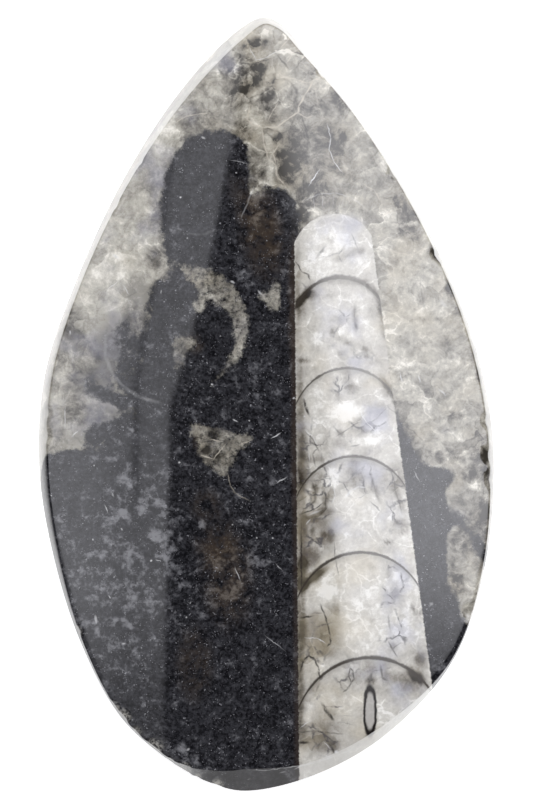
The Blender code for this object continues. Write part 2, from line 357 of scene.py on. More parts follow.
keep_on_stone("shade", soft_spots(
    # the tip: dark knots and the smoky crystals round them
    (0.8, 37.4, 1.8, 0.9, 0.12), (-0.3, 37.0, 1.8, 0.6, 0.22), (1.3, 36.7, 1.6, 0.7, 0.14, -40),
    (-0.9, 36.0, 1.2, 0.6, -0.34, 10), (2.0, 36.0, 1.4, 0.9, 0.15, -45), (2.5, 36.0, 1.0, 0.7, 0.12, -50),
    (1.6, 35.8, 1.0, 0.6, 0.16), (-3.4, 35.3, 0.8, 0.6, 0.12), (-2.0, 35.1, 0.8, 0.9, -0.42, 20),
    (-0.8, 35.1, 0.8, 0.4, -0.1), (-3.5, 34.7, 0.6, 0.5, 0.2), (-0.1, 34.6, 0.8, 0.4, -0.25),
    (0.4, 33.9, 1.8, 0.6, -0.13), (4.2, 33.9, 0.8, 0.8, 0.2), (-2.0, 33.8, 0.8, 0.8, -0.42),
    (-0.8, 33.7, 0.4, 0.3, -0.25), (-0.6, 33.5, 1.0, 0.7, -0.45, 30), (-3.9, 33.4, 1.0, 1.4, -0.12, 15),
    (-2.9, 33.4, 0.6, 0.7, -0.32), (1.4, 33.2, 1.0, 1.0, 0.15), (5.2, 33.0, 2.4, 1.2, -0.16, -52),
    (-1.3, 32.6, 1.0, 0.8, -0.28), (2.2, 32.5, 1.4, 0.7, 0.1), (-1.5, 32.2, 0.4, 0.4, -0.2),
    (-0.1, 32.2, 0.5, 0.4, -0.22), (-3.7, 32.1, 0.5, 0.7, 0.2), (1.4, 32.1, 0.5, 0.5, 0.12),
    (-3.0, 32.0, 1.2, 1.2, -0.25), (-1.9, 31.9, 1.5, 1.0, -0.34, 20), (0.5, 31.9, 0.5, 0.8, -0.25),
    (2.6, 31.8, 1.2, 0.8, 0.1), (-1.6, 31.7, 0.4, 0.3, 0.1), (6.0, 31.6, 0.6, 1.3, 0.12, 20),
    (-0.7, 31.2, 1.0, 0.4, 0.16), (-6.6, 31.0, 1.4, 1.8, -0.05, -35), (-1.4, 30.8, 1.1, 0.4, 0.26),
    (0.1, 30.8, 1.0, 0.6, -0.55, 25), (2.4, 30.8, 0.8, 0.6, -0.2), (5.2, 30.8, 1.0, 0.9, -0.14),
    (1.1, 30.5, 0.5, 0.5, -0.25), (-2.6, 30.4, 1.2, 0.8, -0.2), (7.4, 30.3, 1.4, 0.9, -0.5, 130),
    (-5.4, 30.2, 1.4, 1.4, 0.18), (-3.6, 30.2, 0.5, 0.4, -0.12), (-3.1, 30.2, 0.7, 0.9, -0.2),
    (-0.1, 30.2, 0.5, 0.4, -0.24, 30), (4.3, 30.1, 1.0, 1.3, -0.28), (-4.8, 29.8, 1.6, 0.7, -0.25),
    (2.6, 29.6, 1.0, 0.8, -0.15), (5.6, 29.6, 1.6, 0.9, -0.18), (0.3, 29.4, 0.8, 0.4, -0.4, -35),
    (-1.0, 28.9, 1.2, 0.8, 0.08, -20), (-4.6, 28.4, 1.4, 0.6, -0.2, -20), (0.1, 28.3, 1.0, 0.4, -0.2),
    (-7.0, 28.1, 1.6, 0.9, -0.28), (-4.4, 28.1, 1.4, 0.4, 0.14), (-2.3, 27.9, 0.8, 0.6, -0.3),
    (1.1, 27.6, 0.7, 0.4, 0.2),
    # the smoky field between the tip and the shell
    (3.9, 27.4, 1.6, 1.4, -0.16), (-1.9, 26.9, 1.0, 0.7, -0.3), (0.6, 26.9, 0.7, 0.4, 0.12),
    (1.1, 26.6, 0.5, 0.4, -0.5), (7.1, 26.6, 1.2, 0.8, -0.36), (4.6, 25.6, 3.2, 3.4, -0.26),
    (0.4, 25.4, 0.9, 0.7, -0.12), (-0.6, 25.2, 0.8, 1.0, -0.16), (1.3, 25.0, 0.5, 0.5, -0.4),
    (8.6, 25.0, 0.9, 1.8, -0.1), (2.0, 24.2, 0.9, 0.8, -0.1), (2.8, 24.2, 1.2, 2.0, -0.32),
    (-0.8, 23.8, 0.5, 1.2, 0.14), (7.4, 23.6, 1.2, 2.2, -0.24), (1.5, 23.1, 0.5, 0.5, -0.45),
    (-0.9, 23.0, 0.8, 1.4, -0.26), (1.6, 22.9, 0.9, 1.4, -0.3), (6.4, 22.8, 0.7, 0.6, 0.15),
    (0.2, 22.4, 0.9, 0.6, 0.1), (5.3, 21.8, 1.0, 1.2, -0.34), (3.2, 21.6, 1.0, 1.6, -0.2),
    (7.0, 21.2, 1.3, 0.6, -0.2), (4.6, 20.8, 1.5, 1.2, -0.36), (5.0, 20.1, 2.4, 0.8, -0.22),
    (3.6, 18.8, 0.8, 0.7, -0.6, 45),
    # down the left
    (-9.8, 27.6, 1.2, 0.8, 0.15, 40), (-10.8, 25.5, 0.6, 0.9, 0.3), (-12.8, 20.4, 1.2, 1.8, 0.1),
    (-13.0, 20.2, 1.6, 2.0, 0.02), (-14.9, 14.7, 0.8, 0.5, 0.25), (-11.0, 14.6, 0.9, 1.0, -0.3),
    (-15.2, 13.4, 2.5, 1.6, 0.1), (-14.0, 13.2, 0.8, 0.6, 0.15), (-17.1, 12.9, 0.4, 0.4, 0.12),
    (-13.4, 12.0, 1.6, 1.2, -0.08, -30), (-16.5, 10.5, 2.6, 3.0, 0.14), (-16.0, 9.5, 1.6, 2.0, -0.1),
    (-19.8, 9.4, 0.6, 1.0, -0.12), (-19.4, 6.0, 1.2, 2.8, -0.2), (-17.3, 5.2, 1.4, 2.2, -0.18),
    (-20.4, 4.4, 0.8, 1.0, -0.2), (-18.2, 2.6, 1.5, 1.0, -0.2), (-19.0, 0.8, 1.4, 1.4, -0.12),
    (-21.0, 0.0, 0.9, 2.0, 0.05), (-17.9, -1.2, 2.4, 1.0, -0.36), (-20.2, -3.2, 1.8, 0.9, -0.12, 20),
    # down the right, with painted shade in three chips of the arris
    (9.2, 22.4, 1.2, 1.2, -0.25), (12.0, 22.4, 1.0, 1.2, -0.12), (13.5, 20.1, 1.0, 0.7, -0.15),
    (13.4, 20.0, 0.8, 0.7, -0.18), (14.3, 18.6, 0.9, 1.2, -0.35), (13.3, 18.2, 0.8, 0.6, 0.14),
    (13.0, 17.5, 2.6, 4.0, -0.08), (14.7, 16.8, 0.9, 0.8, -0.15), (16.7, 15.0, 0.7, 0.7, -0.15),
    # the first spot on this line is painted shade in a chip of the arris
    (17.0, 14.9, 0.4, 0.9, -0.5, 30), (12.3, 12.2, 1.0, 1.4, 0.22), (18.3, 11.4, 0.4, 1.0, -0.4, 20),
    (15.2, 9.9, 0.8, 0.8, -0.16), (13.5, 9.6, 1.2, 1.0, 0.04), (18.6, 9.2, 1.0, 0.8, -0.1),
    (15.6, 8.4, 0.4, 0.2, -0.4), (17.2, 8.4, 0.4, 0.2, -0.4), (17.0, 7.4, 0.8, 1.4, 0.1),
    (17.6, 7.2, 0.8, 0.8, 0.12), (17.9, 6.0, 0.7, 1.5, -0.15), (20.9, 5.0, 0.3, 1.2, -0.2, 10),
    (16.2, 4.8, 0.9, 0.9, 0.2), (20.3, 4.0, 0.7, 1.4, -0.14), (13.6, 2.8, 0.8, 1.0, -0.12),
    (21.3, 2.8, 0.4, 0.8, -0.5), (15.2, 1.3, 0.9, 0.8, -0.22), (17.0, 0.6, 0.8, 0.7, -0.1),
    (15.0, -1.0, 0.8, 0.8, 0.15), (17.5, -1.0, 3.0, 3.0, -0.06), (18.4, -1.2, 1.0, 0.4, -0.3),
    (20.2, -2.0, 2.0, 2.0, -0.22), (18.7, -3.3, 0.7, 0.6, 0.35), (14.2, -3.4, 0.7, 1.4, -0.24, 30),
    (20.3, -3.8, 0.8, 0.6, 0.12), (21.9, -3.8, 0.6, 0.9, -0.2), (21.2, -4.9, 0.8, 0.8, -0.35),
    # the last spot on this line, at 22.0, -5.3, is painted shade in a chip of the arris
    (17.4, -5.2, 2.6, 0.9, -0.34), (16.9, -5.3, 0.8, 0.6, -0.12), (22.0, -5.3, 0.3, 1.4, -0.4),
    (20.4, -6.2, 1.6, 1.6, -0.14), (20.4, -7.0, 0.7, 0.9, -0.3), (20.6, -7.2, 1.6, 0.9, -0.17),
    # the first spot on this line is painted shade in a chip of the arris
    (22.0, -8.0, 0.7, 1.4, -0.25), (20.7, -8.2, 0.4, 0.4, 0.5), (20.4, -9.4, 0.8, 0.6, 0.2),
    (20.4, -10.0, 1.6, 1.4, -0.2), (21.7, -10.8, 0.6, 1.1, -0.4), (19.0, -11.3, 0.5, 0.4, -0.1),
    (22.0, -11.6, 0.8, 1.6, -0.15), (20.2, -12.2, 1.0, 0.8, -0.3, 30), (21.4, -12.8, 1.0, 1.4, -0.32),
    (19.8, -13.8, 1.4, 1.2, -0.24, -30), (19.2, -14.4, 0.8, 1.4, -0.28), (20.3, -17.4, 0.6, 0.8, 0.13),
    (20.4, -17.4, 1.0, 2.6, -0.12), (18.7, -17.6, 0.6, 1.8, -0.22), (19.2, -18.0, 0.6, 1.2, -0.3),
    # on the patches in the dark rock
    (-6.0, 12.0, 3.2, 2.0, -0.06, -25), (-13.2, 8.2, 1.0, 2.2, -0.3, 10), (-2.8, 7.2, 1.2, 3.4, 0.04),
    (-8.2, 5.2, 1.8, 2.2, -0.15), (-4.4, 3.2, 1.6, 1.0, -0.2, 50), (-5.3, -3.2, 0.6, 0.4, -0.4, -20),
    (-4.6, -4.6, 3.0, 2.4, -0.12), (-6.0, -4.7, 0.5, 0.4, -0.4), (-4.7, -5.1, 0.6, 0.4, -0.35),
))
keep_on_stone("milky", soft_spots(
    # where the calcite is cloudy, with no crystals to be told apart
    (-7.0, 30.0, 3.0, 3.0, 0.5, -40), (5.5, 25.0, 4.0, 4.0, 0.9), (-12.5, 22.0, 3.0, 6.0, 0.6, -25),
    (9.5, 22.0, 3.0, 3.0, 0.4), (-15.5, 12.0, 5.0, 9.0, 0.65, 10), (-6.0, 11.0, 5.0, 5.0, 0.9),
    (16.0, 11.0, 4.0, 8.0, 0.25), (0.2, 10.6, 2.4, 2.4, 0.9), (-2.6, 6.0, 2.0, 5.0, 0.9),
    (-8.0, 5.0, 3.0, 3.0, 0.9), (-19.5, 0.0, 4.0, 6.0, 0.6), (18.5, 0.0, 4.0, 9.0, 0.3),
    (-4.6, -4.6, 4.0, 3.5, 0.9), (20.2, -13.0, 2.0, 7.0, 0.4),
))
keep_on_stone("warmth", soft_spots(
    # where calcite and shell are honey-coloured
    (0.2, 36.6, 3.4, 2.6, 1.0), (5.5, 33.5, 3.0, 3.0, 0.8, -50), (-0.5, 30.0, 3.4, 4.4, 0.7),
    (5.5, 25.0, 4.0, 4.0, 0.4), (-1.0, 23.5, 1.0, 4.0, 0.4), (2.0, 22.6, 2.4, 2.0, 0.4),
    (-6.0, 12.4, 4.0, 1.8, 0.1, -20), (16.0, 12.0, 4.0, 8.0, 0.3, 20), (16.0, 8.0, 5.0, 14.0, 0.5, 15),
    (20.0, 4.0, 1.4, 6.0, 0.4), (18.0, -2.0, 4.0, 2.6, 0.1), (-4.6, -4.6, 2.8, 2.4, 0.3),
    (4.6, -13.0, 2.0, 6.0, 0.5), (20.0, -16.0, 1.6, 4.6, 0.4, -10), (8.5, -20.0, 5.0, 5.0, 0.7),
    (5.0, -23.0, 2.0, 3.0, 0.4), (7.0, -31.0, 4.0, 4.0, 0.8),
    # where they are bluish
    (-3.6, 34.2, 1.4, 2.0, -0.5, 20), (-10.5, 27.0, 3.0, 5.0, -0.7, -35), (-12.8, 18.0, 3.0, 5.0, -0.2),
    (6.8, 16.0, 3.4, 3.0, -0.6), (-14.0, 8.0, 3.0, 4.0, -0.5), (7.6, 7.0, 2.4, 2.4, -0.5),
    (-17.5, 4.0, 3.0, 4.5, -0.8), (9.6, 4.0, 1.6, 0.8, -0.8), (-19.0, -1.0, 4.0, 3.0, -0.4),
    (10.8, -1.6, 1.4, 1.4, -0.9), (8.6, -7.4, 3.4, 1.6, -0.9), (12.8, -19.0, 1.6, 5.0, -1.3),
    (13.6, -28.4, 1.0, 0.8, -1.0),
))
keep_on_stone("crumbs", soft_spots(
    # where the rock has more crumbs
    (-1.3, 19.6, 1.4, 1.6, 0.6), (-12.6, 0.4, 1.1, 0.4, 0.4, -10), (-16.8, -0.6, 0.8, 0.5, 0.8),
    (-14.4, -1.0, 0.9, 0.5, 0.6, -20), (-10.6, -2.6, 1.0, 0.6, 0.3, -30), (-8.2, -3.0, 0.5, 1.2, 0.4),
    (-12.3, -4.9, 0.8, 0.9, 0.35), (-13.6, -7.9, 1.6, 0.4, 0.5, -30), (-15.5, -8.9, 1.3, 0.4, 0.5, -20),
    (-14.2, -9.0, 4.2, 2.6, 0.15), (-11.0, -9.2, 1.5, 0.7, 0.3, -30), (-4.6, -9.3, 0.4, 1.2, 0.4, -20),
    (-11.5, -10.0, 3.0, 2.6, 0.25), (-17.2, -10.2, 0.6, 0.4, 0.5), (-9.6, -10.8, 1.2, 0.7, 0.4, -20),
    (-14.3, -10.9, 0.4, 0.4, 0.9), (-6.8, -12.1, 0.8, 0.4, 0.6), (-18.6, -12.7, 0.4, 0.6, 0.8),
    (-10.8, -13.6, 0.9, 1.1, 0.5), (-8.4, -14.9, 0.7, 0.6, 0.5), (-1.2, -15.6, 1.0, 1.0, 0.35),
    (-17.3, -16.0, 1.8, 0.9, 0.35, 25), (-13.5, -17.0, 5.0, 3.5, 0.22, -25),
    (-7.0, -17.3, 1.3, 2.0, 0.3, 20), (-13.5, -17.5, 6.0, 9.0, 0.35, 15), (-3.6, -17.6, 2.2, 3.8, 0.32),
    (-4.0, -18.0, 3.0, 5.0, 0.1), (-12.6, -18.8, 2.4, 0.8, 0.15, -35), (-15.4, -23.0, 3.0, 3.0, 0.1),
    (-15.4, -24.0, 0.6, 0.5, 0.5), (-7.0, -24.0, 3.0, 2.0, 0.05), (-13.2, -25.2, 0.6, 0.9, 0.45, 20),
    (-12.2, -27.6, 1.4, 0.5, 0.35, -40), (-1.0, -28.5, 4.0, 5.0, 0.1), (-8.2, -34.4, 0.8, 0.7, 0.75, -50),
    (-6.8, -35.8, 2.8, 0.8, 0.45, -25),
    # and where it has fewer
    (-6.0, 21.0, 3.6, 6.0, -0.7), (1.0, 14.0, 2.4, 6.0, -0.12), (-11.0, 10.0, 1.6, 2.6, -0.6),
    (-3.0, 8.0, 3.4, 4.0, -0.3), (-5.0, 6.8, 1.6, 2.0, -0.5), (-14.2, 4.0, 1.8, 2.8, -0.6),
    (1.0, 0.0, 2.4, 8.0, -0.2), (-2.0, -6.0, 6.0, 8.0, -0.12), (-18.4, -8.6, 2.4, 2.4, -0.45),
    (-13.6, -12.6, 1.6, 1.0, -0.5), (-17.6, -13.8, 1.2, 1.0, -0.4), (16.8, -14.0, 3.4, 9.0, -0.8),
    (-10.2, -18.8, 1.0, 2.4, -0.5), (-11.4, -23.2, 1.8, 2.4, -0.4), (-2.0, -28.0, 8.0, 9.0, -0.35),
))
keep_on_stone("rust", soft_spots(
    # where rust stains the rock
    (-2.6, 20.6, 1.0, 2.6, 0.3, 15), (-0.5, 17.2, 1.9, 4.2, 0.95, 10), (2.7, 10.0, 0.6, 7.0, 0.5),
    (-7.2, 6.0, 0.9, 0.9, 0.7), (-6.7, -3.6, 0.6, 1.4, 0.7), (2.8, -5.0, 0.4, 8.0, 0.4),
    (-6.0, -10.2, 1.4, 1.5, 0.5), (-5.3, -14.0, 2.0, 1.5, 0.4), (-4.0, -17.0, 2.2, 4.6, 0.8, 5),
    (-7.2, -26.0, 1.6, 3.2, 0.6),
))
keep_on_stone("veins", soft_spots(
    # where dark veins run between the shell's crystals
    (6.8, 15.3, 2.4, 1.4, 0.5), (3.8, 12.6, 0.9, 1.4, 0.6, 20), (7.6, 7.0, 2.2, 2.4, 0.7),
    (9.6, 4.6, 1.6, 0.9, 0.6), (8.0, 1.8, 1.7, 1.2, 0.8), (10.6, -1.6, 1.9, 1.6, 0.7),
    (7.6, -3.0, 2.6, 1.0, 0.7), (4.5, -3.4, 1.2, 2.2, 0.8), (7.0, -7.6, 4.2, 2.0, 0.9),
    (12.8, -9.2, 1.3, 3.2, 0.8), (5.0, -11.5, 1.9, 2.8, 0.9), (4.6, -15.2, 1.1, 1.6, 0.7),
    (12.8, -19.4, 1.6, 4.2, 0.9), (5.4, -22.2, 1.9, 2.8, 0.9), (12.6, -23.9, 1.6, 1.8, 0.8),
    (4.5, -26.4, 1.5, 1.7, 0.8), (14.6, -26.6, 1.2, 1.6, 0.7, 30), (12.0, -27.0, 1.6, 1.0, 0.7),
    (8.6, -27.3, 1.4, 1.5, 0.8), (6.0, -31.2, 2.0, 2.2, 0.6), (5.6, -33.6, 2.2, 1.6, 0.8),
))
keep_on_stone("shell_shade", soft_spots(
    # the left margin, where mud seeped in along the wall
    (3.5, 13.2, 0.6, 1.4, 0.08), (3.1, 13.0, 0.35, 3.0, -0.25), (3.6, 10.5, 1.1, 0.4, -0.75, 50),
    (3.5, 9.6, 0.5, 0.8, -0.26), (3.5, 8.8, 0.5, 0.6, -0.2), (3.2, 5.0, 0.4, 6.0, -0.2, 2),
    (3.7, 4.3, 0.6, 0.22, -0.3), (3.3, -2.0, 0.6, 4.0, -0.14), (3.3, -3.0, 0.5, 4.0, -0.15),
    (3.6, -4.4, 0.5, 1.6, -0.18), (3.6, -6.6, 0.6, 1.6, -0.3), (3.4, -10.0, 0.6, 3.4, -0.3, 2),
    (3.3, -11.0, 0.6, 3.4, -0.12), (3.6, -12.8, 0.5, 1.6, -0.25), (3.3, -16.2, 0.7, 2.2, -0.32),
    (3.6, -16.4, 0.6, 1.0, -0.4), (3.7, -18.1, 0.5, 0.6, -0.8), (3.4, -21.0, 0.5, 4.2, -0.38),
    (3.7, -22.8, 0.5, 1.6, -0.25), (3.4, -23.8, 0.5, 2.2, -0.14), (3.3, -28.4, 0.4, 3.4, -0.25),
    (3.3, -30.0, 0.6, 4.0, -0.2), (3.6, -32.4, 0.5, 2.0, -0.25),
    # first chamber
    (6.6, 18.0, 2.6, 0.9, -0.12), (6.5, 16.8, 1.6, 1.0, 0.1), (6.4, 16.2, 0.3, 0.3, -0.2),
    (7.8, 16.0, 0.9, 1.2, 0.1), (9.5, 15.3, 0.35, 0.5, -0.18), (8.7, 15.1, 1.0, 0.35, -0.26, 12),
    (7.4, 14.5, 0.8, 0.25, -0.15, 15), (5.4, 14.0, 2.2, 1.2, 0.1), (9.4, 13.9, 0.9, 0.8, 0.12),
    (7.6, 12.1, 2.4, 0.35, -0.18),
    # second chamber
    (10.5, 11.5, 1.2, 0.35, -0.35, -42), (11.8, 11.4, 0.7, 1.6, 0.14), (5.6, 11.0, 1.2, 0.6, -0.12),
    (4.4, 10.9, 0.5, 0.5, -0.35), (10.8, 9.6, 0.6, 1.2, -0.15), (11.5, 9.6, 1.6, 0.4, -0.35, -76),
    (8.85, 8.6, 1.2, 0.25, -0.3, 95), (7.0, 8.4, 0.7, 0.5, -0.15), (11.9, 8.0, 0.6, 2.2, -0.3, 10),
    (8.9, 7.6, 0.3, 0.3, -0.25), (6.55, 7.2, 0.25, 0.35, -0.4), (6.4, 6.8, 0.6, 0.6, 0.08),
    (5.6, 6.6, 1.0, 1.0, 0.08), (7.7, 6.3, 0.6, 0.35, -0.26, -30), (8.3, 6.0, 0.4, 0.25, -0.2, -20),
    (4.8, 5.6, 0.5, 0.4, -0.1), (9.8, 5.4, 0.3, 0.3, -0.35), (7.4, 5.0, 0.35, 0.25, -0.25),
    (10.0, 4.8, 0.25, 0.3, -0.25), (12.0, 4.8, 0.8, 4.4, -0.12), (8.8, 4.4, 2.4, 1.8, -0.1),
    (9.6, 4.2, 1.2, 0.5, -0.12), (7.8, 3.4, 0.7, 1.4, -0.1),
    # third chamber
    (8.1, 2.8, 0.5, 0.4, -0.14), (8.1, 2.1, 0.6, 0.7, -0.25), (12.4, 1.8, 0.7, 1.6, -0.15),
    (12.2, 1.5, 1.4, 0.35, -0.4, -55), (8.5, 1.4, 0.8, 0.5, -0.2), (7.2, 0.6, 0.4, 0.5, -0.2),
    (5.2, 0.4, 0.8, 1.2, 0.12), (12.9, -0.3, 0.9, 0.25, -0.25, -80), (11.0, -0.8, 1.0, 0.8, -0.22),
    (8.0, -0.9, 1.6, 0.9, 0.28), (9.4, -2.2, 1.1, 0.8, -0.26, 20), (9.9, -2.7, 0.5, 0.2, -0.22, -20),
    (5.0, -2.8, 0.8, 1.0, 0.12), (5.0, -2.9, 0.6, 0.6, 0.12), (7.3, -2.9, 0.4, 0.35, -0.35),
    (10.8, -3.3, 0.8, 0.7, 0.14), (5.0, -3.4, 1.2, 1.2, -0.06), (7.8, -3.8, 1.0, 0.9, -0.15),
    (9.4, -3.8, 1.8, 0.45, 0.16), (7.6, -3.9, 0.8, 0.5, -0.16), (6.4, -4.3, 0.7, 0.9, -0.1),
    (9.4, -4.8, 1.2, 1.0, -0.1), (5.0, -5.4, 0.8, 0.5, -0.2),
    # fourth chamber
    (5.0, -5.9, 0.8, 0.6, -0.12), (9.6, -6.4, 3.2, 1.6, -0.12), (8.7, -6.5, 0.5, 1.1, -0.25),
    (6.9, -7.0, 1.0, 0.6, 0.2), (9.6, -7.3, 1.2, 0.5, -0.14), (5.5, -7.8, 1.2, 0.9, -0.22),
    (6.4, -7.8, 0.7, 1.0, 0.12), (13.2, -7.8, 0.8, 2.4, -0.15), (6.4, -8.0, 0.7, 0.5, 0.14),
    (10.4, -8.0, 2.0, 0.8, -0.12), (8.2, -8.2, 1.0, 0.5, -0.14, 10), (12.3, -8.2, 1.3, 1.4, -0.13),
    (4.9, -8.6, 0.35, 0.5, -0.4), (8.6, -8.6, 2.0, 0.8, -0.14), (10.9, -8.7, 1.2, 0.3, -0.2, -68),
    (6.4, -8.9, 0.4, 0.6, -0.2), (9.0, -9.2, 0.8, 0.5, 0.12), (4.7, -9.5, 0.35, 0.6, -0.35),
    (5.9, -9.6, 0.35, 0.7, -0.3), (13.3, -9.6, 1.4, 0.3, -0.2, -70), (5.9, -10.8, 0.8, 0.4, -0.35),
    (4.4, -11.5, 0.8, 0.35, -0.35), (5.0, -11.6, 0.8, 0.7, -0.12), (13.3, -11.7, 0.6, 0.3, -0.3),
    (12.9, -12.0, 0.4, 0.3, -0.2), (13.8, -12.2, 0.6, 0.25, -0.35, -10), (4.6, -12.8, 0.25, 0.6, -0.25),
    (5.0, -12.8, 1.6, 2.2, -0.12), (13.7, -12.8, 0.5, 0.2, -0.35, 20), (5.7, -13.1, 0.3, 0.35, -0.45),
    (6.4, -13.2, 0.4, 0.7, -0.25), (12.1, -13.85, 0.5, 0.2, -0.4), (14.0, -14.2, 0.9, 1.3, 0.1),
    (5.0, -14.3, 0.8, 0.5, 0.08), (11.8, -14.6, 1.2, 0.4, -0.12),
    # fifth chamber
    (4.4, -15.4, 1.0, 1.0, -0.4), (9.2, -15.8, 1.4, 0.5, -0.08), (10.5, -16.3, 0.4, 0.3, -0.26),
    (4.9, -17.0, 0.8, 0.5, -0.12), (12.3, -17.0, 0.3, 0.9, -0.22), (6.4, -17.2, 0.8, 1.8, 0.12),
    (4.8, -17.3, 1.6, 0.45, -0.75, 35), (12.4, -18.4, 1.0, 1.2, -0.13), (12.8, -18.7, 0.4, 0.9, -0.22),
    (6.0, -18.9, 1.2, 0.8, 0.18), (13.5, -19.5, 0.4, 1.0, -0.14), (6.9, -20.0, 0.4, 0.9, -0.18, 20),
    (9.6, -20.0, 2.4, 4.0, 0.06), (14.6, -20.4, 0.28, 0.2, -0.45), (15.2, -20.9, 0.7, 0.25, -0.2),
    (6.6, -21.6, 0.8, 1.4, -0.15), (10.6, -21.6, 0.3, 0.25, -0.25), (13.4, -21.6, 0.9, 2.4, 0.16),
    (13.4, -22.0, 1.0, 1.8, -0.06), (5.0, -22.3, 1.4, 1.5, -0.22), (6.0, -23.4, 1.4, 1.6, -0.32),
    (12.6, -24.3, 0.35, 0.4, -0.3), (5.0, -24.6, 1.4, 0.6, -0.25, -20), (14.0, -25.0, 1.4, 1.0, -0.1),
    (15.4, -25.5, 0.5, 0.5, -0.25), (15.5, -25.6, 0.8, 1.4, -0.22),
    # last chamber
    (10.4, -26.4, 0.9, 0.8, -0.22), (11.8, -26.4, 0.5, 0.6, -0.2), (4.1, -26.6, 1.0, 2.0, -0.16),
    (14.9, -27.2, 1.1, 0.4, -0.6, -40), (12.2, -27.4, 0.8, 0.6, -0.2), (8.4, -27.5, 0.6, 0.7, -0.2),
    (10.35, -27.6, 0.5, 0.35, -0.5), (10.4, -27.8, 4.6, 1.4, -0.15), (14.4, -27.8, 1.4, 1.2, -0.3),
    (5.0, -28.2, 0.8, 0.8, -0.12), (13.4, -29.4, 0.8, 0.8, -0.1), (8.6, -29.6, 1.2, 1.6, 0.06),
    (6.4, -31.0, 0.6, 0.6, -0.1), (9.0, -31.0, 0.6, 1.2, -0.1), (4.1, -31.2, 0.4, 1.2, 0.12, -20),
    (12.8, -31.4, 1.6, 1.6, 0.05), (6.2, -31.8, 1.6, 1.2, -0.2), (5.0, -32.4, 1.6, 0.8, -0.2),
    (8.4, -33.6, 2.0, 1.0, -0.06, 15), (10.4, -33.8, 0.8, 0.5, -0.16), (5.4, -33.9, 1.8, 1.0, -0.25),
    (6.8, -34.4, 0.35, 0.6, -0.25),
))
keep_on_stone("shell_stain", soft_spots(
    # where mud stains the shell
    (4.2, 9.8, 0.8, 1.0, 0.2), (3.5, -3.2, 0.5, 1.0, 0.3), (3.7, -6.0, 0.6, 2.6, 0.5),
    (5.0, -12.8, 1.9, 2.4, 0.55), (4.3, -15.2, 0.9, 0.9, 0.5), (4.9, -22.6, 1.5, 1.6, 0.4),
    (7.2, -22.8, 0.6, 1.6, 0.15), (5.4, -24.6, 1.6, 0.6, 0.4, -20), (15.4, -25.6, 0.6, 0.6, 0.3),
    (14.9, -27.2, 1.0, 0.5, 0.3, -40), (9.2, -32.6, 2.0, 1.4, 0.1), (5.4, -33.6, 2.0, 1.2, 0.4),
))


# --- The polished material --------------------------------------------------------------------------
# Polished limestone is glassy: a thin gloss over rock whose colour comes from below the surface. The
# mud rock is near black, the calcite smoky to milky, and the shell white with ink-thin cracks.

stone_paint = bpy.data.materials.new("polished_fossil_limestone")
stone_paint.use_nodes = True
shader = stone_paint.node_tree.nodes["Principled BSDF"]
shader.inputs["IOR"].default_value = 1.6
stone_mesh.materials.append(stone_paint)


class Field:
    """A number, colour or place that changes over the stone: the output of a shader node."""

    def __init__(self, socket):
        self.socket = socket

    def __add__(self, other):
        return calc("ADD", self, other)

    def __sub__(self, other):
        return calc("SUBTRACT", self, other)

    def __rsub__(self, other):
        return calc("SUBTRACT", other, self)

    def __mul__(self, other):
        return calc("MULTIPLY", self, other)

    def __truediv__(self, other):
        return calc("DIVIDE", self, other)

    __radd__ = __add__
    __rmul__ = __mul__


def node_beside(kind, *values):
    """A new node of this kind in the tree that the first field among the values belongs to."""
    tree = next(value.socket.id_data for value in values if isinstance(value, Field))
    return tree.nodes.new(kind)


def feed(socket, value):
    if isinstance(value, Field):
        value.socket.id_data.links.new(value.socket, socket)
    else:
        socket.default_value = value


def calc(operation, *values):
    node = node_beside("ShaderNodeMath", *values)
    node.operation = operation
    for socket, value in zip(node.inputs, values):
        feed(socket, value)
    return Field(node.outputs[0])


def vector(operation, *values):
    node = node_beside("ShaderNodeVectorMath", *values)
    node.operation = operation
    inputs = [socket for socket in node.inputs if socket.enabled]
    for socket, value in zip(inputs, values):
        feed(socket, value)
    return Field(next(socket for socket in node.outputs if socket.enabled))


def parts_of(where):
    """The x, y and z of a place."""
    node = node_beside("ShaderNodeSeparateXYZ", where)
    feed(node.inputs[0], where)
    return [Field(output) for output in node.outputs]


def fade(value, start, end, top=1.0):
    """0 up to start, the top value from end on, smooth in between."""
    node = node_beside("ShaderNodeMapRange", value, start, end)
    node.interpolation_type = "SMOOTHSTEP"
    node.clamp = False
    feed(node.inputs["Value"], value)
    feed(node.inputs["From Min"], start)
    feed(node.inputs["From Max"], end)
    node.inputs["To Max"].default_value = top
    return Field(node.outputs["Result"])


def srgb(*levels):
    """A colour given by its screen levels, 0 to 255."""
    return tuple(((level / 255 + 0.055) / 1.055) ** 2.4 for level in levels) + (1.0,)


def over(base, top, amount):
    """The top colour laid over the base one."""
    node = node_beside("ShaderNodeMix", base, top, amount)
    node.data_type = "RGBA"
    feed(node.inputs[0], amount)
    feed(node.inputs[6], base)
    feed(node.inputs[7], top)
    return Field(node.outputs[2])


def shades(value, *stops):
    """A colour picked by the value from (value, colour) stops."""
    node = node_beside("ShaderNodeValToRGB", value)
    feed(node.inputs[0], value)
    bar = node.color_ramp.elements
    while len(bar) < len(stops):
        bar.new(0.5)
    for stop, (at, shade_there) in zip(bar, stops):
        stop.position = at
        stop.color = shade_there
    return Field(node.outputs[0])


NOISE_GAIN = 6.5  # brings noise, which keeps close to its middle, to about -1 to 1


def cloud(where, size, detail=2.0, roughness=0.5):
    """Smooth noise about 0, seldom past -1 or 1, with features of about this size."""
    node = node_beside("ShaderNodeTexNoise", where)
    feed(node.inputs["Vector"], where)
    node.inputs["Scale"].default_value = 1 / size
    node.inputs["Detail"].default_value = detail
    node.inputs["Roughness"].default_value = roughness
    return (Field(node.outputs["Fac"]) - 0.5) * NOISE_GAIN


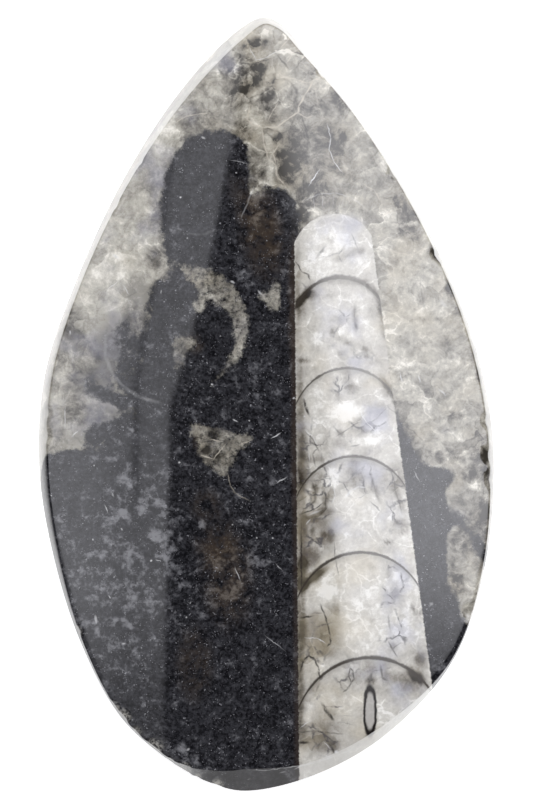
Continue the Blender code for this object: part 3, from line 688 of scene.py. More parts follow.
def stirred(where, size, amount, detail=2.0):
    """The place moved about by noise, so that what is drawn there gets uneven edges."""
    node = node_beside("ShaderNodeTexNoise", where)
    feed(node.inputs["Vector"], where)
    node.inputs["Scale"].default_value = 1 / size
    node.inputs["Detail"].default_value = detail
    drift = vector("SUBTRACT", Field(node.outputs["Color"]), (0.5, 0.5, 0.5))
    return vector("MULTIPLY_ADD", drift, (amount * 4,) * 3, where)


def elsewhere(where, x_shift, y_shift):
    """The place moved aside, so that two patterns drawn alike don't fall together."""
    return vector("ADD", where, (x_shift, y_shift, 0.0))


def crystals(where, size):
    """For a mass of grown-together crystals: shade 0 to 1, tilt about 0 and distance to the next one."""
    inside = node_beside("ShaderNodeTexVoronoi", where)
    border = node_beside("ShaderNodeTexVoronoi", where)
    border.feature = "DISTANCE_TO_EDGE"
    for node in (inside, border):
        feed(node.inputs["Vector"], where)
        node.inputs["Scale"].default_value = 1 / size
    tint = Field(inside.outputs["Color"])
    split = node_beside("ShaderNodeSeparateColor", where)
    feed(split.inputs[0], tint)
    lean = vector("SUBTRACT", tint, (0.5, 0.5, 0.5))
    from_middle = vector("SUBTRACT", where, Field(inside.outputs["Position"]))
    tilt = vector("DOT_PRODUCT", from_middle, lean) * (2 / size)
    return Field(split.outputs[0]), tilt, Field(border.outputs["Distance"]) * size


def kept(name):
    """What was kept on the stone's corners under this name."""
    node = stone_paint.node_tree.nodes.new("ShaderNodeAttribute")
    node.attribute_name = name
    return Field(node.outputs["Fac"])


def centred(where):
    """1 at the middle of the place, falling to 0 at a distance of 1."""
    node = node_beside("ShaderNodeTexGradient", where)
    node.gradient_type = "SPHERICAL"
    feed(node.inputs["Vector"], where)
    return Field(node.outputs["Fac"])


STREAK_DEPTH = 1.2  # how far a streak reaches into the stone
STREAK_REACH = 0.8  # half length of a streak, as a share of its line, so that it fades past the line's ends


def streaks(where, *lines):
    """Soft tapered streaks, the strongest one at each place: x and y from and to, half width, strength."""
    total = None
    for x0, y0, x1, y1, width, strength in lines:
        mx, my = (x0 + x1) / 2, (y0 + y1) / 2
        node = node_beside("ShaderNodeMapping", where)
        node.vector_type = "TEXTURE"
        feed(node.inputs["Vector"], where)
        node.inputs["Location"].default_value = (mx, my, dome_height(mx, my))
        node.inputs["Rotation"].default_value = (0.0, 0.0, math.atan2(y1 - y0, x1 - x0))
        length = STREAK_REACH * math.hypot(x1 - x0, y1 - y0) + width
        node.inputs["Scale"].default_value = (length, width, STREAK_DEPTH)
        one = fade(centred(Field(node.outputs[0])), 0.0, 0.85, strength)
        total = one if total is None else calc("MAXIMUM", total, one)
    return total


def path(width, strength, *points):
    """Streaks end to end through the (x, y) points."""
    return [(*start, *end, width, strength) for start, end in zip(points, points[1:])]


def dots(*marks):
    """Round streaks: x, y, half width, strength."""
    return [(at_x, at_y, at_x, at_y, width, strength) for at_x, at_y, width, strength in marks]


object_place = stone_paint.node_tree.nodes.new("ShaderNodeTexCoord").outputs["Object"]
place = vector("SCALE", Field(object_place), 1 / MM)
x, y, z = parts_of(place)
fall = x * x / (2 * RADIUS_ACROSS)
below = CROWN[2] - fall - (y - CROWN[1]) * (y - CROWN[1]) / (2 * RADIUS_ALONG) - z
rough_place = stirred(place, 1.8, 0.45, 3.0)
near_place = stirred(place, 0.6, 0.07, 2.0)
grit = cloud(place, 0.34, 4.0, 0.75)
wisp = cloud(stirred(place, 3.0, 0.6), 1.1, 5.0, 0.68)

# Calcite: crystals of two sizes with pale seams between them, in smoky and milky clouds
BIG_CRYSTAL = 2.5
SMALL_CRYSTAL = 1.05
CALCITE_SHADES = [
    (0.0, srgb(58, 55, 49)),
    (0.25, srgb(106, 102, 94)),
    (0.5, srgb(150, 146, 136)),
    (0.75, srgb(190, 186, 174)),
    (1.0, srgb(236, 232, 221)),
]
HONEY_TINGE = srgb(178, 166, 140)
BLUE_TINGE = srgb(140, 142, 164)

big_shade, big_tilt, big_edge = crystals(rough_place, BIG_CRYSTAL)
small_shade, _, small_edge = crystals(elsewhere(rough_place, 40.0, 0.0), SMALL_CRYSTAL)
seam_cloud = cloud(elsewhere(place, 20.0, 20.0), 2.2, 3.0)
clear = 1.0 - kept("milky")
shade = kept("shade") * (1.0 + (small_shade - 0.5) * clear - 0.4 * wisp)
light = 0.60 + shade + 0.09 * cloud(place, 4.5) + 0.17 * wisp + 0.08 * grit
facets = (big_shade - 0.5) * 0.26 + (small_shade - 0.5) * 0.14 + big_tilt * 0.2
halo = fade(big_edge, 0.6, 0.0) * fade(seam_cloud, -0.4, 0.8, 0.12)
big_seam = fade(big_edge, 0.12, 0.02) * fade(seam_cloud, -0.1, 0.9, 0.19)
small_seam = fade(small_edge, 0.1, 0.02) * fade(wisp, 0.0, 0.9, 0.12)
rift = fade(big_edge, 0.2, 0.03) * fade(seam_cloud, -0.1, -0.8, 0.2)
rock_near = kept("rock")
light = light + (facets + halo + big_seam + small_seam - rift) * clear - fade(rock_near, -1.2, 0.2, 0.1)
warmth = 0.7 * cloud(elsewhere(place, 31.0, 7.0), 3.5, 3.0) + kept("warmth")
calcite = shades(light, *CALCITE_SHADES)
calcite = over(calcite, HONEY_TINGE, fade(warmth, 0.0, 1.6, 0.35) * fade(light, -0.1, 0.5))
calcite = over(calcite, BLUE_TINGE, fade(warmth, -0.1, -1.5, 0.35))

# Dark rock: near black, cloudy, with crumbs of shell, rusty stains and a dust of pale specks
ROCK_BLACK = srgb(16, 16, 19)
ROCK_GREY = srgb(62, 62, 66)
RUST = srgb(60, 51, 43)
CRUMB_GREY = srgb(128, 128, 131)
CRUMB_TAN = srgb(112, 103, 92)
DUST_GREY = srgb(168, 168, 172)

crumb_cloud = cloud(stirred(elsewhere(place, 5.0, 50.0), 1.0, 0.2), 1.15, 4.0, 0.6)
rock_paint = over(ROCK_BLACK, ROCK_GREY, fade(1.3 * grit + 0.7 * crumb_cloud, -1.6, 2.0))
rusty = calc("MINIMUM", kept("rust") * fade(crumb_cloud, -1.2, 0.9), 0.9)
rock_paint = over(rock_paint, RUST, rusty)
crumb_paint = over(CRUMB_GREY, CRUMB_TAN, rusty)
crumbs = fade(crumb_cloud + 0.3 * grit + kept("crumbs"), 0.3, 1.9)
rock_paint = over(rock_paint, crumb_paint, crumbs * 0.9)
dust_shade = crystals(elsewhere(place, 0.0, 9.0), 0.5)[0]
dust = fade(cloud(elsewhere(place, 77.0, 0.0), 0.16, 1.0), 0.8, 1.5) * fade(dust_shade, 0.4, 1.0)
rock_paint = over(rock_paint, DUST_GREY, dust * 0.7)

rock_edge = rock_near + 0.22 * cloud(place, 1.1, 5.0, 0.72) + 0.1 * grit
rock_mass = fade(rock_edge, -0.2, 0.3)
in_rock = calc("MAXIMUM", rock_mass, kept("smoke") * fade(wisp + 0.5 * grit, -1.3, 0.9))
colour = over(calcite, rock_paint, in_rock)
patch_core = calc("MINIMUM", 1.5 * kept("patch"), 0.5)
patch_web = patch_core + 0.4 * cloud(elsewhere(place, 9.0, 9.0), 0.6, 4.0, 0.75)
colour = over(colour, calcite, fade(patch_web + 0.14 * grit, -0.15, 0.8, 0.95))

# Cream seams, which cross the calcite and its patches in the rock
SEAM_CREAM = srgb(205, 197, 182)
CREAM_SEAMS = [
    *path(0.09, 0.7, (1.3, 35.4), (2.1, 36.3), (2.45, 36.9)),
    *path(0.09, 0.6, (2.0, 34.0), (2.8, 35.2), (3.8, 35.6)),
    *path(0.1, 0.6, (1.3, 32.7), (3.0, 32.4), (4.2, 32.0), (5.8, 32.7)),
    *path(0.13, 0.8, (4.7, 32.2), (3.8, 30.8), (3.2, 29.7), (3.2, 29.1), (2.1, 28.4), (1.1, 27.6)),
    *path(0.13, 0.7, (1.1, 27.6), (-0.4, 27.6), (-1.35, 27.8), (-1.9, 28.4), (-1.7, 29.7)),
    *path(0.1, 0.6, (3.2, 29.0), (4.0, 28.5), (4.5, 28.7)), *path(0.08, 0.4, (4.9, 31.5), (5.1, 29.9)),
    *path(0.07, 0.4, (3.4, 34.1), (4.4, 33.3), (5.4, 32.7)),
    *path(0.07, 0.35, (3.9, 34.4), (4.8, 33.6), (5.8, 33.0)),
    *path(0.06, 0.3, (3.1, 33.7), (4.1, 32.9), (4.9, 32.4)),
    *path(0.08, 0.6, (0.2, 28.4), (0.55, 29.1), (1.1, 29.9)),
    *path(0.12, 0.6, (-0.4, 27.2), (-0.3, 26.1), (0.2, 24.4), (0.9, 23.8), (1.1, 22.6), (1.7, 21.9)),
    *path(0.1, 0.6, (1.1, 25.7), (0.65, 24.9), (0.9, 24.0)),
    *path(0.1, 0.5, (9.7, 21.9), (10.8, 21.3), (11.4, 20.2)),
    *path(0.09, 0.6, (-10.5, 27.6), (-9.1, 28.0), (-8.2, 28.6), (-6.9, 28.9), (-5.7, 29.0)),
    *path(0.1, 0.6, (11.4, 18.7), (13.0, 19.4)),
    *path(0.12, 0.4, (11.9, 15.4), (13.3, 15.0), (14.6, 14.8), (16.0, 15.7)),
    *path(0.08, 0.7, (-6.5, -5.2), (-5.3, -5.5), (-4.2, -4.2)),
    *path(0.1, 0.3, (-3.9, -7.0), (-3.6, -8.2), (-3.2, -8.9), (-1.9, -9.6)),
    (-5.5, -3.6, -4.6, -3.8, 0.08, 0.7), (-2.6, -4.1, -1.6, -3.7, 0.08, 0.6),
]
colour = over(colour, SEAM_CREAM, streaks(near_place, *CREAM_SEAMS))

# Shell: a tapering cone of white calcite, crossed by the thin domed walls of its chambers
SHELL_MIDDLE = 7.84  # x of its axis, where y is 0
SHELL_LEAN = 0.072  # how far the axis swings to the left for each millimetre towards the tip
SHELL_RADIUS = 4.91  # where y is 0
SHELL_TAPER = 0.063  # how much narrower it is for each millimetre towards the tip
SHELL_DEPTH = 1.5  # its axis lies this far below the face, and its sides are upright as far up and down
SHELL_END = 19.0  # the top of its rounded upper end
DOME_RADIUS = 1.1  # of that end and of the chamber walls, in radii of the shell
DOME_TILT = 0.09  # how much higher they lie for each millimetre to the right
SHELL_SHADES = [
    (0.0, srgb(48, 44, 38)),
    (0.3, srgb(124, 119, 110)),
    (0.6, srgb(178, 174, 166)),
    (0.85, srgb(210, 207, 199)),
    (1.0, srgb(240, 238, 232)),
]
MUD_STAIN = srgb(88, 79, 69)
SHELL_BLUE = srgb(178, 182, 206)
SHELL_HONEY = srgb(204, 192, 164)
VEIN_GREY = srgb(78, 76, 80)
MARGIN_BROWN = srgb(60, 50, 44)

across = x + SHELL_LEAN * y - SHELL_MIDDLE
radius = SHELL_RADIUS - SHELL_TAPER * y
buried = calc("MAXIMUM", calc("ABSOLUTE", below - SHELL_DEPTH) - SHELL_DEPTH, 0.0)
reach = across * across + buried * buried
wall = radius - calc("SQRT", reach)
dome = radius * DOME_RADIUS
rise = y - DOME_TILT * across + dome - calc("SQRT", calc("MAXIMUM", dome * dome - reach, 0.01))
end_edge = rise + 0.05 * grit
in_shell = fade(wall + 0.06 * grit, -0.06, 0.08) * fade(end_edge, SHELL_END, SHELL_END - 0.15)
shell_light = 0.79 + 1.12 * kept("shell_shade") + 0.06 * cloud(place, 2.4, 4.0, 0.55)
shell_light = shell_light + 0.09 * wisp + 0.07 * grit
veined = kept("veins") + 0.4 * seam_cloud
shell_light = shell_light + (small_shade - 0.5) * fade(veined, 0.1, 1.0, 0.3) + (big_shade - 0.5) * 0.08
shell_light = shell_light + fade(big_edge, 0.12, 0.02) * fade(veined, 0.6, -0.4, 0.14)
shell_paint = shades(shell_light, *SHELL_SHADES)
stain = calc("MINIMUM", kept("shell_stain") * fade(wisp, -1.5, 0.9), 0.8)
shell_paint = over(shell_paint, MUD_STAIN, stain)
shell_paint = over(shell_paint, SHELL_BLUE, fade(warmth, -0.1, -1.6, 0.4))
shell_paint = over(shell_paint, SHELL_HONEY, fade(warmth, 0.0, 1.6, 0.35))
vein = fade(big_edge, 0.16, 0.02) * fade(veined, 0.35, 1.0, 0.8) * fade(wisp, -0.8, 0.5)
shell_paint = over(shell_paint, VEIN_GREY, vein)
margin = fade(wall, -0.7, -0.1) * fade(across, 0.0, -1.0, 0.55) * fade(rise, 19.4, 18.6)
colour = over(colour, MARGIN_BROWN, margin)
colour = over(colour, shell_paint, in_shell)

SEPTUM_BROWN = srgb(62, 56, 50)
SEPTA = [
    # height of the wall's top, half thickness on the left and on the right, strength there
    (12.6, 0.14, 0.20, 0.9, 0.6),
    (3.5, 0.09, 0.13, 0.85, 0.65),
    (-5.3, 0.10, 0.10, 0.9, 0.8),
    (-14.9, 0.12, 0.11, 0.95, 0.85),
    (-25.4, 0.12, 0.14, 0.95, 0.9),
]
rightward = fade(across, -3.0, 3.0)
for top, left_half, right_half, left_strength, right_strength in SEPTA:
    above = rise - top + 0.03 * grit
    off = calc("ABSOLUTE", above)
    half = (left_half + (right_half - left_half) * rightward) * (1.2 + 0.35 * wisp)
    strength = left_strength + (right_strength - left_strength) * rightward
    septum = fade(off, half * 1.9, half * 0.5) * strength
    under = fade(above, -0.9, 0.0) * fade(above, 0.25, 0.05, 0.3)
    colour = over(colour, SEPTUM_BROWN, calc("MAXIMUM", septum, under) * in_shell)

# Dark cracks in the shell and round it, and painted shade in three chips of the arris at the sides
INK_AND_CHIP_SHADE = srgb(52, 48, 45)
INK_LINES_AND_CHIP_SHADE = [
    *path(0.14, 0.78, (2.95, 14.1), (3.6, 13.1), (4.1, 12.9), (4.35, 12.4)),
    *path(0.19, 0.39, (8.75, 9.6), (8.8, 8.2), (9.0, 7.5)),
    *path(0.24, 0.95, (3.75, 0.3), (3.9, -0.3), (4.2, -1.0)),
    *path(0.11, 0.59, (7.1, -3.2), (8.4, -2.4), (9.2, -1.9)),
    *path(0.1, 0.39, (10.3, -2.0), (11.2, -1.3), (12.0, -0.4)),
    *path(0.14, 0.59, (4.0, -2.9), (4.7, -3.7), (5.2, -4.7)),
    *path(0.14, 0.52, (5.1, -4.5), (4.6, -5.0), (4.9, -6.2)),
    *path(0.13, 0.45, (12.75, -7.3), (12.8, -8.6), (13.2, -9.7), (13.5, -10.8)),
    *path(0.19, 0.45, (10.5, -7.4), (10.8, -8.5), (11.2, -9.6)),
    *path(0.18, 0.59, (4.6, -8.0), (4.9, -8.7), (4.9, -9.6), (4.5, -10.1)),
    *path(0.1, 0.78, (5.5, -10.0), (4.9, -10.5), (3.6, -11.0)),
    *path(0.14, 0.85, (5.4, -20.2), (5.8, -21.0), (6.1, -22.0), (6.4, -23.2), (6.4, -24.0), (6.1, -24.2)),
    *path(0.14, 0.65, (12.2, -23.8), (12.6, -24.6), (13.0, -25.2)),
    *path(0.16, 0.91, (3.4, -26.6), (3.7, -25.6), (4.2, -25.2), (4.8, -25.5), (5.2, -26.4), (5.3, -27.5)),
    *path(0.14, 0.72, (8.35, -26.4), (8.2, -27.2),
        (8.45, -27.9), (8.75, -27.5), (8.65, -26.7), (8.35, -26.4)),
    *path(0.16, 0.65, (8.4, -27.9), (8.1, -28.5), (7.7, -28.8)),
    *path(0.16, 0.59, (11.4, -26.2), (11.55, -27.4), (12.0, -27.6)),
    *path(0.26, 0.91, (5.6, -30.1), (6.2, -31.0), (6.6, -31.5)),
    *path(0.13, 0.59, (3.3, -32.8), (4.8, -32.7), (6.4, -32.9), (7.5, -33.0)),
    *path(0.16, 0.72, (5.9, -33.6), (6.5, -34.3), (6.8, -34.9)),
    *path(0.11, 0.78, (-2.5, 34.0), (-1.35, 33.9), (0.17, 34.4)),
    *path(0.16, 0.39, (-4.7, 34.2), (-4.9, 33.5), (-4.2, 32.7)), (1.1, 34.8, 2.2, 33.5, 0.14, 0.65),
    (7.0, 31.2, 8.2, 29.8, 0.32, 0.65), (8.55, 16.8, 9.05, 15.7, 0.13, 0.52),
    # the first mark on this line is painted shade in a chip of the arris, not a crack
    (16.9, 15.6, 17.4, 14.2, 0.26, 0.78), (5.1, 14.7, 5.75, 15.55, 0.22, 0.65),
    (15.4, 11.6, 15.7, 9.9, 0.16, 0.39), (21.0, 3.6, 21.4, 2.3, 0.26, 0.78),
    # the first mark on this line is painted shade in a chip of the arris, not a crack
    (-22.0, 0.0, -22.2, -3.0, 0.16, 0.52), (12.0, -0.2, 12.9, -1.0, 0.1, 0.39),
    # the first mark on this line is painted shade in a chip of the arris, not a crack
    (22.0, -1.4, 22.1, -2.3, 0.19, 0.65), (7.4, -3.1, 6.8, -2.4, 0.13, 0.52),
    (8.5, -4.25, 9.2, -4.1, 0.11, 0.59), (3.3, -5.1, 4.2, -5.6, 0.56, 0.65),
    (5.9, -9.3, 5.9, -10.3, 0.16, 0.59), (10.5, -9.9, 11.3, -10.7, 0.13, 0.59),
    (3.45, -12.6, 3.5, -18.8, 0.16, 0.95), (6.8, -14.0, 6.85, -15.5, 0.1, 0.59),
    (6.9, -15.7, 7.2, -17.0, 0.11, 0.45), (4.6, -20.9, 5.5, -20.9, 0.1, 0.45),
    (12.15, -21.3, 12.35, -22.6, 0.16, 0.45), (3.5, -21.4, 4.6, -21.2, 0.13, 0.95),
    (12.6, -24.5, 13.3, -24.0, 0.11, 0.45), (8.0, -25.0, 8.6, -25.8, 0.24, 0.39),
    (5.3, -28.0, 5.0, -28.7, 0.16, 0.45), (7.2, -31.2, 8.6, -31.2, 0.08, 0.26),
    (7.3, -31.8, 8.8, -32.1, 0.08, 0.26), (3.2, -33.9, 4.1, -33.85, 0.19, 0.95),
]
colour = over(colour, INK_AND_CHIP_SHADE, streaks(near_place, *INK_LINES_AND_CHIP_SHADE) * fade(wisp + grit, -2.0, 0.2))

# Siphuncle: the tube that ran through all chambers, cut where it dips out of the face
SIPHUNCLE_X = 10.33
SIPHUNCLE_Y = -30.7
SIPHUNCLE_STRAIGHT = 0.5  # half length of its straight sides
SIPHUNCLE_STRETCH = 0.31  # how much its round ends are drawn out: 1 would be a half circle
SIPHUNCLE_GREY = srgb(170, 167, 163)
SIPHUNCLE_BLACK = srgb(38, 35, 33)
SIPHUNCLE_BLOTS = [(10.2, -33.1, 10.6, -32.9, 0.42, 1.0), (10.35, -28.2, 10.4, -28.6, 0.28, 0.7)]

near_x, near_y = parts_of(near_place)[:2]
beside = near_x - SIPHUNCLE_X
past_straight = calc("ABSOLUTE", near_y - SIPHUNCLE_Y) - SIPHUNCLE_STRAIGHT
past_end = calc("MAXIMUM", past_straight, 0.0) * SIPHUNCLE_STRETCH
from_siphuncle = calc("SQRT", beside * beside + past_end * past_end) + fade(below, 2.0, 4.0)
colour = over(colour, SIPHUNCLE_GREY, fade(from_siphuncle, 0.52, 0.42, 0.75))
ring = fade(from_siphuncle, 0.76, 0.6) * fade(from_siphuncle, 0.34, 0.5)
colour = over(colour, SIPHUNCLE_BLACK, calc("MAXIMUM", ring, streaks(near_place, *SIPHUNCLE_BLOTS)))

# White flecks, scratches and specks, on the calcite, the rock and the shell alike, and a painted highlight
# along the arris at the foot
FLECK_AND_HIGHLIGHT_WHITE = srgb(226, 226, 226)
WHITE_FLECKS_AND_ARRIS_HIGHLIGHT = [
    *path(0.07, 0.8, (9.4, -0.9), (10.0, -1.9), (10.9, -2.8)),
    *path(0.06, 0.6, (3.9, -2.7), (4.6, -3.3), (5.0, -4.0)),
    *path(0.1, 0.5, (6.75, -8.3), (6.85, -9.2), (6.6, -9.9)),
    *path(0.16, 0.45, (8.0, -9.2), (8.5, -8.6), (9.3, -8.3), (9.8, -8.4)),
    *path(0.07, 0.7, (4.0, -23.4), (5.0, -23.4), (5.8, -23.9)),
    *path(0.07, 0.6, (-1.64, 35.5), (-1.07, 34.3), (-0.2, 34.5), (1.1, 35.2)),
    *path(0.07, 0.75, (6.1, 27.8), (6.4, 26.6), (6.25, 25.3), (6.7, 24.2), (7.5, 23.2)),
    # painted highlight: these two lines run along the arris at the top of the foot's ground facet
    *path(0.08, 0.7, (3.3, -36.2), (5.0, -35.85), (7.0, -35.15), (9.0, -34.35), (10.6, -33.8)),
    *path(0.06, 0.55, (3.3, -36.2), (1.6, -36.4), (0.2, -36.6), (-1.2, -36.65)),
    *path(0.28, 0.13, (-16.1, 6.6), (-16.1, 4.6), (-15.4, 3.0), (-14.2, 1.6), (-12.6, 0.6), (-10.8, 0.1)),
    *path(0.1, 0.25, (3.9, 20.3), (5.2, 20.9), (6.8, 21.0), (8.4, 20.6), (9.6, 19.8)),
    *path(0.2, 0.06, (-8.0, 17.0), (-6.5, 16.8), (-5.0, 17.3)),
    *path(0.12, 0.2, (-1.3, 21.6), (-1.8, 20.2), (-2.5, 18.6)), (-2.7, 36.5, -4.4, 34.8, 0.08, 0.7),
    (-6.4, 26.6, -6.2, 26.5, 0.16, 0.5), (-3.5, 24.3, -2.0, 24.0, 0.06, 0.35),
    (5.2, 23.2, 4.35, 21.9, 0.09, 0.9), (6.6, 19.7, 6.7, 20.8, 0.06, 0.2),
    (5.6, 19.6, 5.6, 20.7, 0.06, 0.25), (7.5, 19.6, 7.7, 20.6, 0.06, 0.25),
    (4.8, 19.4, 4.7, 20.5, 0.06, 0.25), (-15.2, 14.8, -14.8, 14.6, 0.2, 0.4),
    (-3.5, 12.2, -3.3, 12.1, 0.16, 0.6), (-14.2, 11.7, -13.8, 11.0, 0.08, 0.5),
    (-15.8, 11.5, -14.8, 12.2, 0.08, 0.5), (-0.8, 11.2, -0.6, 11.0, 0.14, 0.5),
    (-10.5, 11.0, -10.5, 11.3, 0.09, 0.4), (17.5, 10.2, 17.8, 9.8, 0.3, 0.3),
    (-19.6, 7.2, -19.6, 7.0, 0.12, 0.6), (13.4, 2.9, 13.5, 2.2, 0.09, 0.6), (15.2, 2.8, 15.3, 2.2, 0.1, 0.5),
    (17.3, 1.4, 17.8, 0.9, 0.12, 0.5), (-20.1, -0.5, -20.1, -2.5, 0.08, 0.5),
    (-3.3, -1.6, -2.9, -1.8, 0.09, 0.6), (-19.3, -3.2, -18.9, -2.8, 0.08, 0.7),
    (0.6, -3.4, 1.3, -3.0, 0.1, 0.8), (4.2, -4.9, 4.35, -5.7, 0.08, 0.45), (6.2, -5.0, 6.8, -5.4, 0.06, 0.4),
    (14.8, -6.9, 15.2, -7.7, 0.12, 0.35), (1.1, -7.9, 1.9, -7.4, 0.09, 0.6),
    (-15.4, -9.0, -15.3, -9.2, 0.12, 0.4), (-16.1, -10.2, -15.9, -10.8, 0.08, 0.6),
    (5.3, -10.7, 4.3, -11.1, 0.15, 0.35), (4.0, -12.0, 4.3, -11.6, 0.1, 0.45),
    (-14.5, -12.5, -14.4, -12.6, 0.1, 0.5), (-11.0, -15.6, -10.7, -15.65, 0.08, 0.5),
    (1.0, -16.1, 1.5, -16.6, 0.07, 0.4), (-3.1, -16.5, -2.7, -17.5, 0.07, 0.6),
    (-15.7, -19.2, -15.6, -19.4, 0.09, 0.6), (16.4, -20.0, 16.5, -20.0, 0.25, 0.25),
    (-17.1, -21.3, -17.0, -21.8, 0.16, 0.5), (11.2, -22.8, 12.0, -22.5, 0.1, 0.35),
    (0.0, -23.3, 1.6, -24.5, 0.05, 0.5), (-14.3, -24.0, -14.2, -24.0, 0.13, 0.5),
    (3.5, -32.3, 4.3, -31.7, 0.08, 0.5), (5.8, -33.9, 6.3, -34.4, 0.06, 0.6),
    (-7.9, -34.6, -7.8, -34.5, 0.16, 0.5), (2.9, -36.45, 3.8, -36.1, 0.12, 0.7),
    (1.4, -36.85, 1.9, -36.8, 0.08, 0.5), (-1.9, -37.6, -1.6, -37.5, 0.1, 0.5),
]
WHITE_SPECKS = dots(
    (-3.0, 23.0, 0.13, 0.5), (-8.6, 20.6, 0.14, 0.8), (-7.9, 16.5, 0.1, 0.5), (-4.6, 6.7, 0.1, 0.6),
    (-5.4, 1.9, 0.14, 0.8), (2.7, 0.55, 0.16, 0.7), (3.8, -1.3, 0.12, 0.6), (-1.7, -1.7, 0.12, 0.6),
    (-8.7, -5.9, 0.16, 0.7), (-17.2, -6.2, 0.12, 0.5), (-0.4, -6.5, 0.11, 0.6), (-21.5, -9.2, 0.1, 0.6),
    (-3.4, -12.1, 0.12, 0.5), (0.6, -13.4, 0.13, 0.7), (-1.0, -13.4, 0.12, 0.6), (-17.4, -13.6, 0.13, 0.6),
    (-11.5, -15.7, 0.15, 0.8), (-7.6, -19.9, 0.1, 0.4), (15.8, -20.1, 0.12, 0.5), (-8.0, -21.3, 0.12, 0.6),
    (7.0, -34.8, 0.24, 0.9), (-1.0, -36.6, 0.12, 0.6),
)
colour = over(colour, FLECK_AND_HIGHLIGHT_WHITE, streaks(near_place, *WHITE_FLECKS_AND_ARRIS_HIGHLIGHT, *WHITE_SPECKS))

# Ground, chipped and sawn surfaces are matt, so they look paler than the same stone where it is polished.
# On the calcite's ground edge the pale colour is also a painted sheen that stands in for reflected white
# light.
GROUND_CALCITE_AND_SHEEN = srgb(236, 234, 228)
GROUND_ROCK = srgb(150, 149, 147)
FRESH_BREAK = srgb(206, 202, 192)
SAW_LINES = 7.5  # radians of their wave for each millimetre across them
SAW_COURSE = (0.26, 0.97)  # the way across them

ground = kept("ground")
side = kept("side")
back = kept("back")
pale_break = kept("chipped") * fade(grit, -0.7, 0.9)
rock_seen = in_rock * (1.0 - in_shell)
# the calcite's ground edge: paler for its matt finish, and partly painted sheen for the white light it
# reflects
colour = over(colour, GROUND_CALCITE_AND_SHEEN, ground * (1.0 - rock_seen) * 0.5)
matt = calc("MULTIPLY_ADD", back, 0.22, ground * (0.05 + 0.23 * rock_seen) + 0.12 * side)
colour = over(colour, GROUND_ROCK, matt)
colour = over(colour, FRESH_BREAK, pale_break * 0.85)
feed(shader.inputs["Base Color"], colour)
roughness = 0.032 + 0.012 * fade(wisp, -1.0, 1.0)
roughness = roughness + 0.26 * ground + 0.12 * side + 0.2 * back + 0.3 * pale_break
feed(shader.inputs["Roughness"], roughness)
saw_lines = calc("SINE", SAW_LINES * (SAW_COURSE[0] * x + SAW_COURSE[1] * y) + cloud(place, 5.0, 1.0)) * back
grain = grit * (0.005 * ground + 0.006 * side + 0.02 * pale_break)
height = 0.0002 * cloud(place, 2.5, 1.0) + grain + 0.012 * saw_lines
relief = node_beside("ShaderNodeBump", height)
relief.inputs["Distance"].default_value = MM
feed(relief.inputs["Height"], height)
feed(shader.inputs["Normal"], Field(relief.outputs["Normal"]))


# --- The studio -------------------------------------------------------------------------------------
# The floor is a white table, lit from above by the glowing roof of a light tent. The roof has a dark slot
# over the stone, through which it is looked at. From below the table is see-through and shows the back.

FLOOR_SIZE = 8000.0
FLOOR_GAP = 0.05  # below the stone's back, so that the two don't coincide
FLOOR_WHITE = (0.9, 0.9, 0.9, 1.0)
WHITE_LIGHT = (1.0, 1.0, 1.0, 1.0)

floor_bm = bmesh.new()
bmesh.ops.create_grid(floor_bm, x_segments=1, y_segments=1, size=FLOOR_SIZE / 2 * MM)
floor_mesh = bpy.data.meshes.new("table")
floor_bm.to_mesh(floor_mesh)
floor_bm.free()
floor = bpy.data.objects.new("table", floor_mesh)
floor.location = (0.0, 0.0, -FLOOR_GAP * MM)
bpy.context.scene.collection.objects.link(floor)
floor_paint = bpy.data.materials.new("white_table")
floor_paint.use_nodes = True
floor_nodes = floor_paint.node_tree.nodes
floor_shader = floor_nodes["Principled BSDF"]
floor_shader.inputs["Base Color"].default_value = FLOOR_WHITE
floor_shader.inputs["Roughness"].default_value = 0.8
floor_shader.inputs["Emission Color"].default_value = WHITE_LIGHT
floor_shader.inputs["Emission Strength"].default_value = 0.75
floor_side = floor_nodes.new("ShaderNodeNewGeometry")
see_through = floor_nodes.new("ShaderNodeBsdfTransparent")
floor_mix = floor_nodes.new("ShaderNodeMixShader")
feed(floor_mix.inputs[0], Field(floor_side.outputs["Backfacing"]))
feed(floor_mix.inputs[1], Field(floor_shader.outputs[0]))
feed(floor_mix.inputs[2], Field(see_through.outputs[0]))
feed(floor_nodes["Material Output"].inputs[0], Field(floor_mix.outputs[0]))
floor_mesh.materials.append(floor_paint)

world = bpy.data.worlds.new("studio")
world.use_nodes = True
world.node_tree.nodes["Background"].inputs["Color"].default_value = WHITE_LIGHT
world.node_tree.nodes["Background"].inputs["Strength"].default_value = 0.25
world.cycles_visibility.glossy = False
bpy.context.scene.world = world

ROOF_HEIGHT = 700.0
ROOF_SIZE = 1000.0
ROOF_LIGHT = (0.975, 0.98, 1.035, 1.0)
roof_data = bpy.data.lights.new("tent_roof", "AREA")
roof_data.shape = "SQUARE"
roof_data.size = ROOF_SIZE * MM
roof_data.energy = math.pi * roof_data.size**2
roof_data.use_nodes = True
roof = bpy.data.objects.new("tent_roof", roof_data)
roof.location = (0.0, 0.0, ROOF_HEIGHT * MM)
roof.visible_camera = False
bpy.context.scene.collection.objects.link(roof)

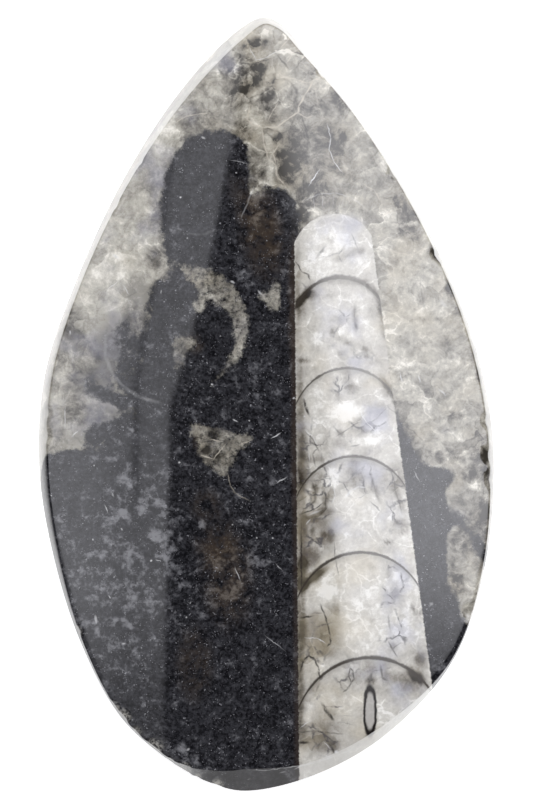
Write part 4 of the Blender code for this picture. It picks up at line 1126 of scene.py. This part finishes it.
# The roof's left panel ends at a line that bends where y is 12, 35 and 63, and has a dim seam in it. The
# right one ends at a straight line, and both grow dim towards the foot.
glow = roof_data.node_tree.nodes["Emission"]
roof_place = roof_data.node_tree.nodes.new("ShaderNodeNewGeometry").outputs["Parametric"]
across_roof, up_roof = parts_of(Field(roof_place))[:2]
roof_x = (across_roof - 0.5) * ROOF_SIZE
roof_y = (up_roof - 0.5) * ROOF_SIZE
left_edge = -76.0 + 0.05 * calc("MINIMUM", roof_y - 12.0, 0.0)
left_edge = left_edge + 0.78 * calc("MAXIMUM", roof_y - 12.0, 0.0)
left_edge = left_edge - 0.25 * calc("MAXIMUM", roof_y - 35.0, 0.0)
left_edge = left_edge - 0.12 * calc("MAXIMUM", roof_y - 63.0, 0.0)
right_edge = 43.7 - 0.19 * roof_y
seam_place = roof_x + 105.0 - 0.38 * calc("MAXIMUM", roof_y - 17.0, 0.0)
seam = 1.0 - fade(calc("ABSOLUTE", seam_place), 4.5, 0.5, 0.6) * fade(roof_y, -30.0, -10.0)
left_glow = fade(roof_x, left_edge, left_edge - 3.0) * (1.32 + fade(roof_x, -104.0, -150.0, 0.72)) * seam
left_glow = left_glow * (0.25 + fade(roof_y, -108.0, -45.0, 0.75))
spread = 0.7 * calc("MAXIMUM", roof_y - 55.0, 0.0)
right_glow = fade(roof_x, right_edge - spread, right_edge + 16.0) * fade(roof_y, -112.0, -22.0, 4.05)
glow.inputs["Color"].default_value = ROOF_LIGHT
feed(glow.inputs["Strength"], left_glow + right_glow)

CAMERA_HEIGHT = 1607.0
CAMERA_Y = 0.35
camera_data = bpy.data.cameras.new("camera")
camera_data.lens = 720.0
camera_data.sensor_width = 36.0
camera_data.clip_end = 10.0
camera = bpy.data.objects.new("camera", camera_data)
camera.location = (0.0, CAMERA_Y * MM, CAMERA_HEIGHT * MM)
bpy.context.scene.collection.objects.link(camera)
bpy.context.scene.camera = camera

bpy.context.scene.view_settings.view_transform = "Standard"
bpy.context.scene.view_settings.look = "None"
